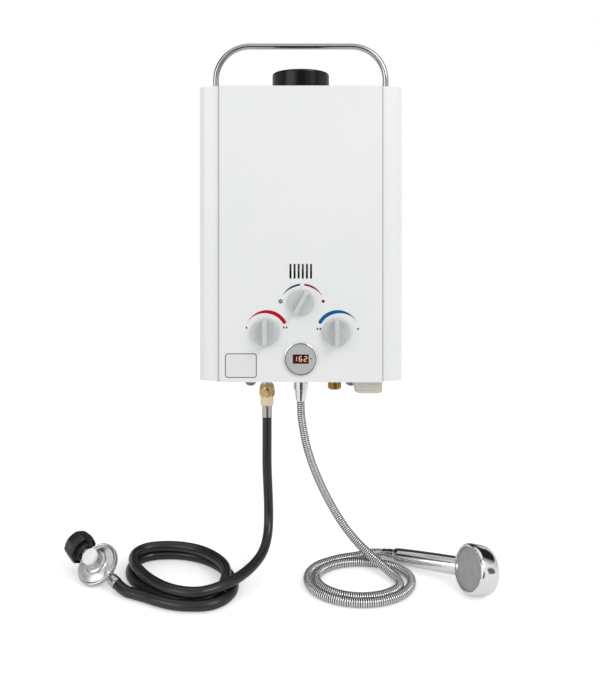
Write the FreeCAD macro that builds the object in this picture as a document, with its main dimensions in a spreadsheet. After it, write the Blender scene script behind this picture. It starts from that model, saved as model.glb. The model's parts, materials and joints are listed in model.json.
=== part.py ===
"""Portable propane water heater with its gas hose, regulator, shower hose and hand shower.

Frame: X to the right, -Y to the front, Z up. The origin is the centre of the hanging hole in the tab
of the rear panel, on the wall plane. Lengths are millimetres and angles are degrees.
"""
import FreeCAD, Part
import math
import os
from collections import namedtuple

import Sketcher

V = FreeCAD.Vector

# --------------------------------------------------------------------------------------------------
# Driving dimensions: alias, value
# --------------------------------------------------------------------------------------------------
DIMENSIONS = [
    # case
    ("case_width", 298.6), ("case_height", 432), ("case_depth", 125), ("hole_rise", 10),
    ("cover_sheet", 1.0), ("chassis_sheet", 1.2), ("fit_gap", 0.3), ("running_gap", 0.05),
    ("side_depth", 109), ("corner_run", 7.8), ("corner_rise", 5.5), ("corner_round", 4),
    ("panel_half", 118.4), ("step_run", 2.6), ("step_rise", 4.5), ("top_chamfer", 2.6),
    ("hanging_hole", 8), ("hanging_tab", 26), ("tab_spread", 82), ("tab_half", 10),
    ("tab_reach", 36), ("tab_hole", 6), ("tab_round", 9.5), ("side_flange", 16), ("end_flange", 10),
    ("slot_count", 6), ("slot_width", 3), ("slot_height", 21.4), ("slot_pitch", 6), ("slot_rise", 161.6),
    ("screw_shank", 3.5), ("screw_head", 7), ("screw_head_rise", 2), ("screw_inset", 40),
    ("screw_depth", 9),
    # flue
    ("port_line", 65), ("flue_dia", 87), ("flue_rise", 28.5), ("flue_wall", 3), ("flue_lip", 6),
    ("flue_spigot", 8), ("guard_sheet", 1), ("guard_slot", 5), ("guard_pitch", 9), ("guard_count", 5),
    ("guard_reach", 48),
    # handle
    ("handle_tube", 9.5), ("handle_wall", 1.2), ("handle_inset", 12.3), ("handle_rise", 71.6),
    ("handle_bend", 55), ("pivot_rise", 12), ("pivot_line", 15), ("pivot_pin", 4), ("pivot_tail", 6),
    ("ear_sheet", 1.5), ("ear_half", 7),
    # controls
    ("knob_dia", 40), ("season_knob_dia", 37), ("knob_height", 20), ("knob_skirt", 6), ("knob_edge", 1),
    ("knob_rim", 3), ("knob_dish", 1.5), ("knob_stand", 1), ("knob_bar", 6.5), ("knob_bore_depth", 12),
    ("knob_round", 2), ("knob_spread", 52), ("knob_rise", 73.5), ("season_rise", 117), ("season_turn", 29),
    ("spindle_dia", 6), ("spindle_seat", 8), ("spindle_hole", 12),
    ("bezel_dia", 46), ("bezel_bore", 38), ("bezel_stand", 3.5), ("bezel_slope", 2), ("bezel_lip", 1),
    ("bezel_neck", 8), ("display_gap", 2.8), ("window_width", 23), ("window_height", 13.4),
    ("face_sheet", 2), ("board_width", 44), ("board_height", 34), ("board_sheet", 1.6), ("board_part", 7),
    # heat exchanger and burner
    ("chamber_width", 184), ("chamber_depth", 80), ("chamber_drop", 62), ("chamber_sheet", 1),
    ("chamber_foot", 14), ("hood_slope", 40),
    ("fin_height", 46), ("fin_sink", 4), ("fin_pitch", 6), ("fin_gap", 3.2), ("fin_cut", 14), ("tube_dia", 12),
    ("tube_wall", 1), ("tube_pitch", 25), ("tube_stub", 14), ("pipe_bend", 18),
    ("tray_height", 40), ("tray_sheet", 1.2), ("blade_width", 8), ("blade_height", 34), ("blade_pitch", 14),
    ("blade_count", 12), ("blade_slot", 2), ("blade_slot_deep", 6),
    ("manifold_gap", 6), ("manifold_height", 14), ("manifold_deep", 20), ("jet_dia", 5),
    ("jet_height", 6), ("season_valve_half", 16), ("season_valve_height", 36),
    # gas and water valves
    ("valve_width", 46), ("valve_height", 62), ("valve_deep", 60), ("valve_round", 8), ("boss_dia", 18),
    ("boss_rise", 9), ("solenoid_dia", 18), ("solenoid_length", 30), ("riser_dia", 14), ("riser_rise", 35.5),
    ("water_valve_width", 34), ("diaphragm_dia", 60), ("diaphragm_sheet", 7), ("rod_dia", 6),
    ("switch_width", 10), ("switch_height", 16),
    ("switch_deep", 20), ("igniter_width", 50), ("igniter_height", 60), ("igniter_deep", 28),
    ("electrode_dia", 3), ("electrode_spread", 30), ("cutout_dia", 18), ("cutout_rise", 6),
    # battery box
    ("battery_left", 78), ("battery_width", 44), ("battery_front", 105), ("battery_deep", 76),
    ("battery_reach", 22), ("battery_rise", 48), ("battery_wall", 1.6), ("battery_round", 9),
    ("battery_lid", 5), ("battery_flange", 3), ("cell_dia", 34.2), ("cell_length", 61.5),
    ("cell_button", 9.5), ("hinge_dia", 5), ("hinge_pin", 2), ("hinge_width", 16),
    # ports
    ("port_spread", 52), ("port_flange", 30), ("port_sheet", 4), ("port_seat", 42),
    ("gas_stub_dia", 16.6), ("gas_stub_reach", 19), ("thread_dia", 20.955), ("thread_reach", 24),
    ("thread_relief", 0.4), ("relief_height", 1.5), ("water_bore", 15), ("gas_bore", 9),
    ("gas_nut_top", 16.5), ("gas_nut_height", 18), ("gas_nut_corner", 25.4), ("gas_nut_neck", 22),
    ("gas_neck_height", 4), ("fitting_flat", 21), ("fitting_height", 14.5),
    ("ferrule_dia", 15.8), ("ferrule_height", 18), ("ferrule_edge", 1),
    ("shower_nut_dia", 22.9), ("shower_nut_top", 5), ("shower_nut_height", 20), ("shower_nut_edge", 0.6),
    ("shower_nut_web", 3), ("cone_top", 18.8), ("cone_end", 15.9), ("cone_height", 16.5),
    ("cone_straight", 5.5),
    # hoses: diameters, the flat ground below the heater and the two coils on it
    ("gas_hose_dia", 14.4), ("shower_hose_dia", 13), ("floor_drop", 727), ("coil_round", 6),
    ("gas_coil_x", -171), ("gas_coil_y", -139), ("gas_coil_long", 184), ("gas_coil_deep", 130),
    ("gas_coil_band", 28), ("gas_coil_height", 27.7), ("gas_coil_lean", -38),
    ("shower_coil_x", 84.2), ("shower_coil_y", -139.3), ("shower_coil_long", 161.8),
    ("shower_coil_deep", 133.8), ("shower_coil_band", 26), ("shower_coil_height", 13),
    ("shower_coil_lean", 0),
    # regulator
    ("regulator_x", -294), ("regulator_y", -131), ("regulator_lift", 23.2), ("regulator_dia", 59),
    ("rim_low", 4), ("rim_high", 3), ("rim_band", 2.5), ("dish_low", 1), ("dish_ring", 7),
    ("body_depth", 11), ("body_foot", 33), ("body_shoulder", 47), ("inlet_dia", 16), ("inlet_reach", 45),
    ("outlet_boss", 18), ("outlet_reach", 35), ("end_ferrule", 15),
    ("bonnet_dia", 24), ("bonnet_base", 29), ("bonnet_base_rise", 6), ("bonnet_top", 22), ("cap_rise", 5.7),
    ("cap_edge", 1.2),
    ("cylinder_nut_dia", 41), ("cylinder_nut_start", 31.5), ("cylinder_nut_length", 29),
    ("nut_collar_dia", 37), ("nut_collar_length", 8), ("nut_edge", 1), ("cylinder_nut_web", 5),
    ("cylinder_thread", 33.3), ("cylinder_thread_length", 13), ("thread_step", 2),
    ("stem_flange", 24), ("stem_flange_sheet", 3), ("lobe_count", 12), ("lobe_dia", 7),
    # hand shower
    ("shower_x", 232), ("shower_y", -183), ("shower_lift", 41.7), ("head_dia", 77), ("head_depth", 31.5),
    ("head_back", 51), ("head_crown", 3), ("head_shoulder", 67), ("head_fall", 9), ("head_edge", 2),
    ("face_dia", 55), ("face_seat", 2), ("face_rise", 1.5), ("nozzle_count", 12), ("nozzle_dia", 3),
    ("nozzle_ring", 40),
    ("handle_lean", 68), ("grip_length", 124), ("grip_root", 25), ("grip_end", 19), ("grip_inset", 20),
    ("grip_back", 21), ("grip_start", 8), ("grip_neck", 16), ("grip_taper", 6), ("grip_edge", 1),
    ("end_nut_dia", 16.5), ("end_nut_length", 20), ("end_nut_step", 11), ("end_nut_neck", 14.6),
]


class Size:
    """A value together with the sheet expression that gives it."""

    def __init__(self, text, value, constant=False):
        self.text = text
        self.value = value
        self.constant = constant

    @staticmethod
    def of(item):
        if isinstance(item, Size):
            return item
        return Size("%.12g" % item, float(item), True)

    def joined(self, sign, other, value):
        return Size("(%s %s %s)" % (self.text, sign, other.text), value, self.constant and other.constant)

    def __add__(self, item):
        other = Size.of(item)
        return self.joined("+", other, self.value + other.value)

    def __sub__(self, item):
        other = Size.of(item)
        return self.joined("-", other, self.value - other.value)

    def __mul__(self, item):
        other = Size.of(item)
        return self.joined("*", other, self.value * other.value)

    def __truediv__(self, item):
        other = Size.of(item)
        return self.joined("/", other, self.value / other.value)

    def __radd__(self, item):
        return Size.of(item) + self

    def __rsub__(self, item):
        return Size.of(item) - self

    def __rmul__(self, item):
        return Size.of(item) * self

    def __neg__(self):
        return Size("(0 - %s)" % self.text, -self.value, self.constant)

    def whole(self):
        return Size("floor(%s)" % self.text, math.floor(self.value), self.constant)


class Sheet:
    """The spreadsheet of driving dimensions; each alias reads as a Size."""

    def __init__(self, document, rows):
        self.cells = document.addObject("Spreadsheet::Sheet", "Dimensions")
        self.values = dict(rows)
        for row, (alias, value) in enumerate(rows, start=1):
            self.cells.set("A%d" % row, alias)
            self.cells.set("B%d" % row, str(value))
            self.cells.setAlias("B%d" % row, alias)

    def __getattr__(self, alias):
        return Size("Dimensions." + alias, float(self.values[alias]))


doc = FreeCAD.newDocument("WaterHeater")
dim = Sheet(doc, DIMENSIONS)
doc.recompute()

Circle = namedtuple("Circle", "x y dia")
NODES = []

# --------------------------------------------------------------------------------------------------
# Places shared by several pieces
# --------------------------------------------------------------------------------------------------
case_top = -dim.hole_rise
case_bottom = case_top - dim.case_height
case_half = dim.case_width / 2
handle_half = case_half - dim.handle_inset
port_y = -dim.port_line
floor_z = -dim.floor_drop
knob_z = case_bottom + dim.knob_rise
season_z = case_bottom + dim.season_rise
plate_inside = case_bottom + dim.chassis_sheet
display_z = plate_inside + dim.end_flange + dim.display_gap + dim.bezel_bore / 2 + dim.cover_sheet
valve_top = knob_z + dim.valve_height / 2
valve_bottom = knob_z - dim.valve_height / 2
valve_face = port_y - dim.valve_deep / 2
manifold_bottom = valve_top + dim.riser_rise
manifold_top = manifold_bottom + dim.manifold_height
tray_bottom = manifold_top + dim.manifold_gap
chamber_bottom = tray_bottom + dim.tray_height
chamber_top = case_top - dim.chamber_drop
chamber_height = chamber_top - chamber_bottom
chamber_back = port_y + dim.chamber_depth / 2
chamber_front = port_y - dim.chamber_depth / 2
tube_z = chamber_top - dim.fin_height / 2 - dim.fin_sink
gas_nut_z = case_bottom - dim.gas_nut_top
fitting_z = gas_nut_z - dim.gas_nut_height
gas_ferrule_z = fitting_z - dim.fitting_height
gas_hose_z = gas_ferrule_z - dim.ferrule_height
shower_nut_z = case_bottom - dim.shower_nut_top
cone_z = shower_nut_z - dim.shower_nut_height
shower_hose_z = cone_z - dim.cone_height
battery_right = dim.battery_left + dim.battery_width
battery_back = -dim.battery_front + dim.battery_deep
lid_top = case_bottom - dim.battery_reach + dim.battery_lid


# --------------------------------------------------------------------------------------------------
# Modelling helpers
# --------------------------------------------------------------------------------------------------
def bind(item, name, size):
    """Sets a property from a number, or binds it to the sheet."""
    size = Size.of(size)
    if not size.constant:
        item.setExpression(name, size.text)
    elif name in item.PropertiesList:
        setattr(item, name, size.value)


def place(item, x=0, y=0, z=0, turn=None):
    """Puts an object at a point bound to the sheet, turned by a fixed rotation."""
    sizes = [Size.of(value) for value in (x, y, z)]
    rotation = turn or FreeCAD.Rotation()
    item.Placement = FreeCAD.Placement(V(*[size.value for size in sizes]), rotation)
    for axis, size in zip("xyz", sizes):
        bind(item, "Placement.Base." + axis, size)


def body(label):
    made = doc.addObject("PartDesign::Body", label)
    made.Label = label
    NODES.append(made)
    return made


def origin_plane(owner, role):
    return [item for item in owner.Origin.OriginFeatures if item.Role == role][0]


def rectangle(x0, x1, y0, y1):
    return [(x0, y0), (x1, y0), (x1, y1), (x0, y1)]


def polygon_loop(sketch, points):
    """A closed outline whose corners are bound to the sheet."""
    corners = [(Size.of(x), Size.of(y)) for x, y in points]
    first = sketch.GeometryCount
    count = len(corners)
    lines = []
    for index in range(count):
        start = corners[index]
        end = corners[(index + 1) % count]
        lines.append(Part.LineSegment(V(start[0].value, start[1].value, 0), V(end[0].value, end[1].value, 0)))
    sketch.addGeometry(lines, False)
    for index in range(count):
        follower = first + (index + 1) % count
        sketch.addConstraint(Sketcher.Constraint("Coincident", first + index, 2, follower, 1))
    for index, corner in enumerate(corners):
        for kind, size in zip(("DistanceX", "DistanceY"), corner):
            rule = sketch.addConstraint(Sketcher.Constraint(kind, -1, 1, first + index, 1, size.value))
            bind(sketch, "Constraints[%d]" % rule, size)


def circle_loop(sketch, circle):
    """A circle whose centre and diameter are bound to the sheet."""
    x, y, dia = [Size.of(size) for size in circle]
    index = sketch.GeometryCount
    sketch.addGeometry(Part.Circle(V(x.value, y.value, 0), V(0, 0, 1), dia.value / 2), False)
    for kind, size in (("DistanceX", x), ("DistanceY", y)):
        rule = sketch.addConstraint(Sketcher.Constraint(kind, -1, 1, index, 3, size.value))
        bind(sketch, "Constraints[%d]" % rule, size)
    rule = sketch.addConstraint(Sketcher.Constraint("Diameter", index, dia.value))
    bind(sketch, "Constraints[%d]" % rule, dia)


def sketch_on(owner, role, offset, shapes, lean=0, shift=(0, 0)):
    """A sketch on an origin plane, lifted along its normal, shifted and turned in its own plane."""
    sketch = owner.newObject("Sketcher::SketchObject", owner.Label + "_sketch")
    sketch.AttachmentSupport = [(origin_plane(owner, role), "")]
    sketch.MapMode = "FlatFace"
    spot = [Size.of(size) for size in (*shift, offset)]
    turn = FreeCAD.Rotation(V(0, 0, 1), lean)
    sketch.AttachmentOffset = FreeCAD.Placement(V(*[size.value for size in spot]), turn)
    for axis, size in zip("xyz", spot):
        bind(sketch, "AttachmentOffset.Base." + axis, size)
    for shape in shapes:
        if isinstance(shape, Circle):
            circle_loop(sketch, shape)
        else:
            polygon_loop(sketch, shape)
    return sketch


def pad(owner, role, offset, shapes, length, flip=False):
    """Adds the outlines' prism along the plane's normal, which is -Y for the XZ plane."""
    feature = owner.newObject("PartDesign::Pad", owner.Label + "_pad")
    feature.Profile = sketch_on(owner, role, offset, shapes)
    feature.Reversed = flip
    bind(feature, "Length", length)
    owner.Tip = feature
    doc.recompute()
    return feature


def pocket(owner, role, offset, shapes, length, flip=False):
    """Cuts the outlines' prism against the plane's normal, and checks that it cut."""
    before = owner.Shape.Volume
    feature = owner.newObject("PartDesign::Pocket", owner.Label + "_pocket")
    feature.Profile = sketch_on(owner, role, offset, shapes)
    feature.Reversed = flip
    bind(feature, "Length", length)
    owner.Tip = feature
    doc.recompute()
    if not owner.Shape.Volume < before:
        raise RuntimeError("%s: a pocket cuts nothing" % owner.Label)
    return feature


def revolve(owner, profile, lean=0, shift=(0, 0)):
    """Adds the body turned from (radius, height) points about the local Z axis.

    The axis may be leant and shifted within the XZ plane.
    """
    feature = owner.newObject("PartDesign::Revolution", owner.Label + "_revolution")
    sketch = sketch_on(owner, "XZ_Plane", 0, [profile], lean, shift)
    feature.Profile = sketch
    feature.ReferenceAxis = (sketch, ["V_Axis"])
    feature.Angle = 360
    owner.Tip = feature
    doc.recompute()
    return feature


def row(owner, feature, axis, pitch, count):
    """Repeats a feature along a sketch axis."""
    pattern = owner.newObject("PartDesign::LinearPattern", owner.Label + "_row")
    pattern.Originals = [feature]
    pattern.Direction = (feature.Profile[0], [axis])
    pattern.Mode = "Spacing"
    bind(pattern, "Offset", pitch)
    bind(pattern, "Occurrences", count)
    owner.Tip = pattern
    doc.recompute()
    return pattern


def around(owner, feature, count):
    """Repeats a feature around the local Z axis."""
    pattern = owner.newObject("PartDesign::PolarPattern", owner.Label + "_around")
    pattern.Originals = [feature]
    pattern.Axis = ([item for item in owner.Origin.OriginFeatures if item.Role == "Z_Axis"][0], [""])
    pattern.Angle = 360
    bind(pattern, "Occurrences", count)
    owner.Tip = pattern
    doc.recompute()
    return pattern


def soften(owner, size, test, kind="Fillet"):
    """Fillets or chamfers the edges that pass the test."""
    base = owner.Tip
    names = ["Edge%d" % (index + 1) for index, edge in enumerate(base.Shape.Edges) if test(edge)]
    if not names:
        raise RuntimeError("%s: no edge to soften" % owner.Label)
    feature = owner.newObject("PartDesign::" + kind, owner.Label + "_" + kind.lower())
    feature.Base = (base, names)
    bind(feature, "Size" if kind == "Chamfer" else "Radius", size)
    owner.Tip = feature
    doc.recompute()
    return feature


def spans(edge, axis):
    """True for a straight edge along a row axis."""
    box = edge.BoundBox
    lengths = {"X": box.XLength, "Y": box.YLength, "Z": box.ZLength}
    along = lengths.pop(axis)
    return along > 1e-3 and max(lengths.values()) < 1e-3


def lies(edge, axis, level):
    """True for an edge that lies wholly at one level of a row axis."""
    box = edge.BoundBox
    low = getattr(box, axis + "Min")
    high = getattr(box, axis + "Max")
    level = Size.of(level).value
    return abs(low - level) < 1e-3 and abs(high - level) < 1e-3


def upright(edge):
    return spans(edge, "Z")


FACING_FRONT = FreeCAD.Rotation(V(1, 0, 0), 90)


def corner_path(points, bend=None):
    """A wire of straight runs and tangent arcs, and the smallest arc radius in it.

    Without a bend radius each arc is as large as its two runs allow.
    """
    points = [V(*point) for point in points]
    edges = []
    radii = []
    last = points[0]
    for before, corner, after in zip(points, points[1:], points[2:]):
        into = (corner - before).normalize()
        away = (after - corner).normalize()
        half_turn = into.getAngle(away) / 2
        shorter = min((corner - before).Length, (after - corner).Length)
        radius = bend or 0.45 * shorter / math.tan(half_turn)
        reach = radius * math.tan(half_turn)
        start = corner - into * reach
        end = corner + away * reach
        inward = (away - into).normalize()
        middle = corner + inward * (radius / math.cos(half_turn) - radius)
        edges.append(Part.LineSegment(last, start).toShape())
        edges.append(Part.Arc(start, middle, end).toShape())
        radii.append(radius)
        last = end
    edges.append(Part.LineSegment(last, points[-1]).toShape())
    return Part.Wire(edges), min(radii)


def tube_shape(points, dia, bore=0, bend=None):
    """A round tube or rod swept along a path, checked against its section times its length."""
    path, radius = corner_path(points, bend)
    start = V(*points[0])
    heading = V(*points[1]) - start

    def swept(size):
        ring = Part.Wire(Part.makeCircle(size / 2, start, heading))
        return path.makePipeShell([ring], True, False)

    shape = swept(dia)
    if bore:
        shape = shape.cut(swept(bore))
    expected = math.pi / 4 * (dia ** 2 - bore ** 2) * path.Length
    if abs(shape.Volume / expected - 1) > 0.01:
        raise RuntimeError("a tube's volume is %.0f, not %.0f" % (shape.Volume, expected))
    return shape, path.Length, radius


def feature(label, shape):
    """A piece whose form no feature of the workbenches gives: a route in space or a ring of hose."""
    made = doc.addObject("Part::Feature", label)
    made.Label = label
    made.Shape = shape
    NODES.append(made)
    return made


# --------------------------------------------------------------------------------------------------
# Case
# --------------------------------------------------------------------------------------------------
def cover_outline(inset, back):
    """Half of the stepped plan outline of the case front, from the back edge to the centre panel."""
    return [
        (case_half - inset, back),
        (case_half - inset, -dim.side_depth + inset / 2),
        (case_half - dim.corner_run - inset / 2, -(dim.side_depth + dim.corner_rise) + inset),
        (dim.panel_half + dim.step_run - inset / 2, -(dim.case_depth - dim.step_rise) + inset),
        (dim.panel_half - inset / 2, -dim.case_depth + inset),
    ]


def mirrored(half):
    """The whole outline from its right half."""
    return half + [(-Size.of(x), y) for x, y in reversed(half)]


def front_cover():
    """One folded sheet: sides with a turned-in lip, sloping wings, a step, and a flat panel with holes."""
    cover = body("front_cover")
    outer = mirrored(cover_outline(Size.of(0), -dim.chassis_sheet))
    inner = mirrored(cover_outline(dim.cover_sheet, -dim.chassis_sheet))
    pad(cover, "XY_Plane", case_bottom, [outer + inner[::-1]], dim.case_height)
    corner = case_half.value - dim.corner_run.value
    sheet = dim.cover_sheet.value

    def outer_corner(edge):
        return upright(edge) and edge.BoundBox.YMax < -dim.side_depth.value + 1e-3 \
            and abs(edge.BoundBox.XMax) > corner - 1e-3

    def inner_corner(edge):
        return upright(edge) and edge.BoundBox.YMax < -dim.side_depth.value + dim.corner_rise.value \
            and corner - 2 * sheet < abs(edge.BoundBox.XMax) < case_half.value - sheet / 2 \
            and not edge.BoundBox.YMax < -dim.side_depth.value - dim.corner_rise.value + 1e-3

    soften(cover, dim.corner_round, outer_corner)
    soften(cover, dim.corner_round - dim.cover_sheet, inner_corner)
    cut = dim.top_chamfer
    slant = dim.cover_sheet * math.sqrt(0.5)
    for side in (-1, 1):
        waste = [(side * (case_half - cut), case_top), (side * (case_half + cut), case_top + 2 * cut),
                 (side * (case_half + cut), case_top - cut), (side * case_half, case_top - cut)]
        lip = [(side * case_half, case_top - cut), (side * (case_half - cut), case_top),
               (side * (case_half - cut - slant), case_top - slant),
               (side * (case_half - slant), case_top - cut - slant)]
        pocket(cover, "XZ_Plane", dim.case_depth, [waste], dim.case_depth)
        pad(cover, "XZ_Plane", dim.chassis_sheet, [lip], dim.side_depth - dim.chassis_sheet)
    holes = [Circle(side * dim.knob_spread, knob_z, dim.spindle_hole) for side in (-1, 1)]
    holes.append(Circle(0, season_z, dim.spindle_hole))
    holes.append(Circle(0, display_z, dim.bezel_bore + 2 * dim.fit_gap + 2 * dim.cover_sheet))
    pocket(cover, "XZ_Plane", dim.case_depth, holes, dim.step_rise)
    slot_left = -(dim.slot_count - 1) * dim.slot_pitch / 2
    slot_z = case_bottom + dim.slot_rise
    slot = rectangle(slot_left - dim.slot_width / 2, slot_left + dim.slot_width / 2,
                     slot_z - dim.slot_height / 2, slot_z + dim.slot_height / 2)
    cut = pocket(cover, "XZ_Plane", dim.case_depth, [slot], dim.step_rise)
    row(cover, cut, "H_Axis", dim.slot_pitch, dim.slot_count)
    side_holes = [Circle(-dim.screw_depth, level, dim.screw_shank + 2 * dim.running_gap)
                  for level in (case_top - dim.screw_inset, case_bottom + dim.screw_inset)]
    pocket(cover, "YZ_Plane", case_half, side_holes, 2 * dim.cover_sheet)
    pocket(cover, "YZ_Plane", -case_half, side_holes, 2 * dim.cover_sheet, flip=True)


def rear_panel():
    """The back sheet with a hanging tab above, two fixing tabs below and its folded side flanges."""
    panel = body("rear_panel")
    tab_low = case_bottom - dim.tab_reach
    outline = [
        (-case_half, case_bottom), (-dim.tab_spread - dim.tab_half, case_bottom),
        (-dim.tab_spread - dim.tab_half, tab_low), (-dim.tab_spread + dim.tab_half, tab_low),
        (-dim.tab_spread + dim.tab_half, case_bottom), (dim.tab_spread - dim.tab_half, case_bottom),
        (dim.tab_spread - dim.tab_half, tab_low), (dim.tab_spread + dim.tab_half, tab_low),
        (dim.tab_spread + dim.tab_half, case_bottom), (case_half, case_bottom),
        (case_half, case_top), (dim.hanging_tab / 2, case_top), (dim.hanging_tab / 2, dim.tab_half),
        (-dim.hanging_tab / 2, dim.tab_half), (-dim.hanging_tab / 2, case_top), (-case_half, case_top),
    ]
    pad(panel, "XZ_Plane", 0, [outline], dim.chassis_sheet)
    soften(panel, dim.tab_round, lambda edge: spans(edge, "Y")
           and (edge.BoundBox.ZMin > 0 or edge.BoundBox.ZMin < case_bottom.value - 1))
    outer = case_half - dim.cover_sheet - dim.fit_gap
    for side in (-1, 1):
        edges = sorted((side * outer, side * (outer - dim.chassis_sheet)), key=lambda size: size.value)
        flange = rectangle(edges[0], edges[1], -dim.side_flange, -dim.chassis_sheet)
        end = dim.top_chamfer + dim.cover_sheet + dim.fit_gap
        pad(panel, "XY_Plane", case_bottom + end, [flange], dim.case_height - 2 * end)
    holes = [Circle(0, 0, dim.hanging_hole)]
    tab_hole_z = tab_low + dim.tab_half
    holes += [Circle(side * dim.tab_spread, tab_hole_z, dim.tab_hole) for side in (-1, 1)]
    pocket(panel, "XZ_Plane", dim.chassis_sheet, holes, dim.chassis_sheet)
    side_holes = [Circle(-dim.screw_depth, level, dim.screw_shank + 2 * dim.running_gap)
                  for level in (case_top - dim.screw_inset, case_bottom + dim.screw_inset)]
    pocket(panel, "YZ_Plane", outer, side_holes, dim.chassis_sheet)
    pocket(panel, "YZ_Plane", -outer, side_holes, dim.chassis_sheet, flip=True)


def end_plate(label, low, half, flange_low, holes):
    """The top or bottom sheet inside the cover, with its folded front flange."""
    plate = body(label)
    inset = dim.cover_sheet + 2 * dim.fit_gap
    outline = cover_outline(inset, -dim.chassis_sheet)
    outline[0] = (half, outline[0][1])
    outline[1] = (half, outline[1][1])
    pad(plate, "XY_Plane", low, [mirrored(outline)], dim.chassis_sheet)
    flange_half = dim.panel_half - 2 * inset
    front = -dim.case_depth + inset
    flange = rectangle(-flange_half, flange_half, front, front + dim.chassis_sheet)
    pad(plate, "XY_Plane", flange_low, [flange], dim.end_flange)
    pocket(plate, "XY_Plane", low + dim.chassis_sheet, holes, dim.chassis_sheet)


def end_plates():
    lip = dim.top_chamfer + 2 * dim.fit_gap + dim.cover_sheet / 2
    flue_hole = Circle(0, port_y, dim.flue_dia - 2 * dim.flue_wall + 2 * dim.fit_gap)
    end_plate("top_plate", case_top - dim.chassis_sheet, case_half - lip,
              case_top - dim.chassis_sheet - dim.end_flange, [flue_hole])
    battery = rectangle(dim.battery_left - dim.fit_gap, battery_right + dim.fit_gap,
                        -dim.battery_front - dim.fit_gap, battery_back + dim.fit_gap)
    ports = [Circle(-dim.port_spread, port_y, dim.gas_stub_dia + 2 * dim.fit_gap),
             Circle(0, port_y, dim.thread_dia + 2 * dim.fit_gap),
             Circle(dim.port_spread, port_y, dim.thread_dia + 2 * dim.fit_gap)]
    end_plate("bottom_plate", case_bottom, case_half - dim.cover_sheet - dim.fit_gap,
              case_bottom + dim.chassis_sheet, ports + [battery])


def case_screws():
    """Four pan-head screws through the cover's sides into the rear panel's flanges."""
    screws = body("case_screws")
    shank = dim.cover_sheet + dim.fit_gap + 2 * dim.chassis_sheet
    for level in (case_top - dim.screw_inset, case_bottom + dim.screw_inset):
        heads = [Circle(-dim.screw_depth, level, dim.screw_head)]
        shanks = [Circle(-dim.screw_depth, level, dim.screw_shank)]
        pad(screws, "YZ_Plane", case_half, heads, dim.screw_head_rise)
        pad(screws, "YZ_Plane", case_half, shanks, shank, flip=True)
        pad(screws, "YZ_Plane", -case_half, heads, dim.screw_head_rise, flip=True)
        pad(screws, "YZ_Plane", -case_half, shanks, shank)
    soften(screws, dim.screw_head_rise / 2, lambda edge: abs(abs(edge.BoundBox.XMin) - case_half.value
           - dim.screw_head_rise.value) < 1e-3 and edge.BoundBox.XLength < 1e-3)


# --------------------------------------------------------------------------------------------------
# Flue
# --------------------------------------------------------------------------------------------------
def flue_collar():
    """The turned collar on the top plate, its lip rolled inward and its spigot in the plate's hole."""
    collar = body("flue_collar")
    outer = dim.flue_dia / 2
    inner = outer - 2 * dim.flue_wall
    profile = [
        (inner, -dim.flue_spigot), (outer - dim.flue_wall, -dim.flue_spigot), (outer - dim.flue_wall, 0),
        (outer, 0), (outer, dim.flue_rise), (inner - dim.flue_wall / 2, dim.flue_rise),
        (inner - dim.flue_wall / 2, dim.flue_rise - dim.flue_wall), (inner, dim.flue_rise - dim.flue_wall),
    ]
    revolve(collar, profile)
    soften(collar, dim.flue_lip / 2, lambda edge: lies(edge, "Z", dim.flue_rise)
           and edge.BoundBox.XLength > 2 * inner.value)
    place(collar, 0, port_y, case_top)


def flue_guard():
    """A slotted disc that rests on the collar's inner wall."""
    guard = body("flue_guard")
    dia = dim.flue_dia - 4 * dim.flue_wall - 2 * dim.running_gap
    pad(guard, "XY_Plane", 0, [Circle(0, 0, dia)], dim.guard_sheet)
    left = -(dim.guard_count - 1) * dim.guard_pitch / 2
    slot = rectangle(left - dim.guard_slot / 2, left + dim.guard_slot / 2, -dim.guard_reach / 2,
                     dim.guard_reach / 2)
    cut = pocket(guard, "XY_Plane", dim.guard_sheet, [slot], dim.guard_sheet)
    row(guard, cut, "H_Axis", dim.guard_pitch, dim.guard_count)
    place(guard, 0, port_y, case_top)


def flue_hood():
    """The sheet hood that gathers the burnt gas from the exchanger into the flue."""
    hood = body("flue_hood")
    half_wide = dim.chamber_width / 2
    half_deep = dim.chamber_depth / 2
    neck = dim.flue_dia / 2 - 2 * dim.flue_wall - dim.fit_gap

    def loft(kind, wall):
        low = rectangle(-half_wide + wall, half_wide - wall, -half_deep + wall, half_deep - wall)
        high = rectangle(-neck + wall, neck - wall, -neck + wall, neck - wall)
        made = hood.newObject(kind, "flue_hood_loft")
        made.Profile = sketch_on(hood, "XY_Plane", 0, [low])
        made.Sections = [(sketch_on(hood, "XY_Plane", dim.hood_slope, [high]), [""])]
        hood.Tip = made
        doc.recompute()

    loft("PartDesign::AdditiveLoft", Size.of(0))
    loft("PartDesign::SubtractiveLoft", dim.chamber_sheet)
    neck_rise = dim.chamber_drop - dim.hood_slope - dim.chassis_sheet
    pad(hood, "XY_Plane", dim.hood_slope - dim.chamber_sheet, [Circle(0, 0, 2 * neck)],
        neck_rise + dim.chamber_sheet)
    pocket(hood, "XY_Plane", dim.chamber_drop, [Circle(0, 0, 2 * (neck - dim.chamber_sheet))],
           dim.chamber_drop - dim.hood_slope + 2 * dim.chamber_sheet)
    place(hood, 0, port_y, chamber_top)


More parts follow.
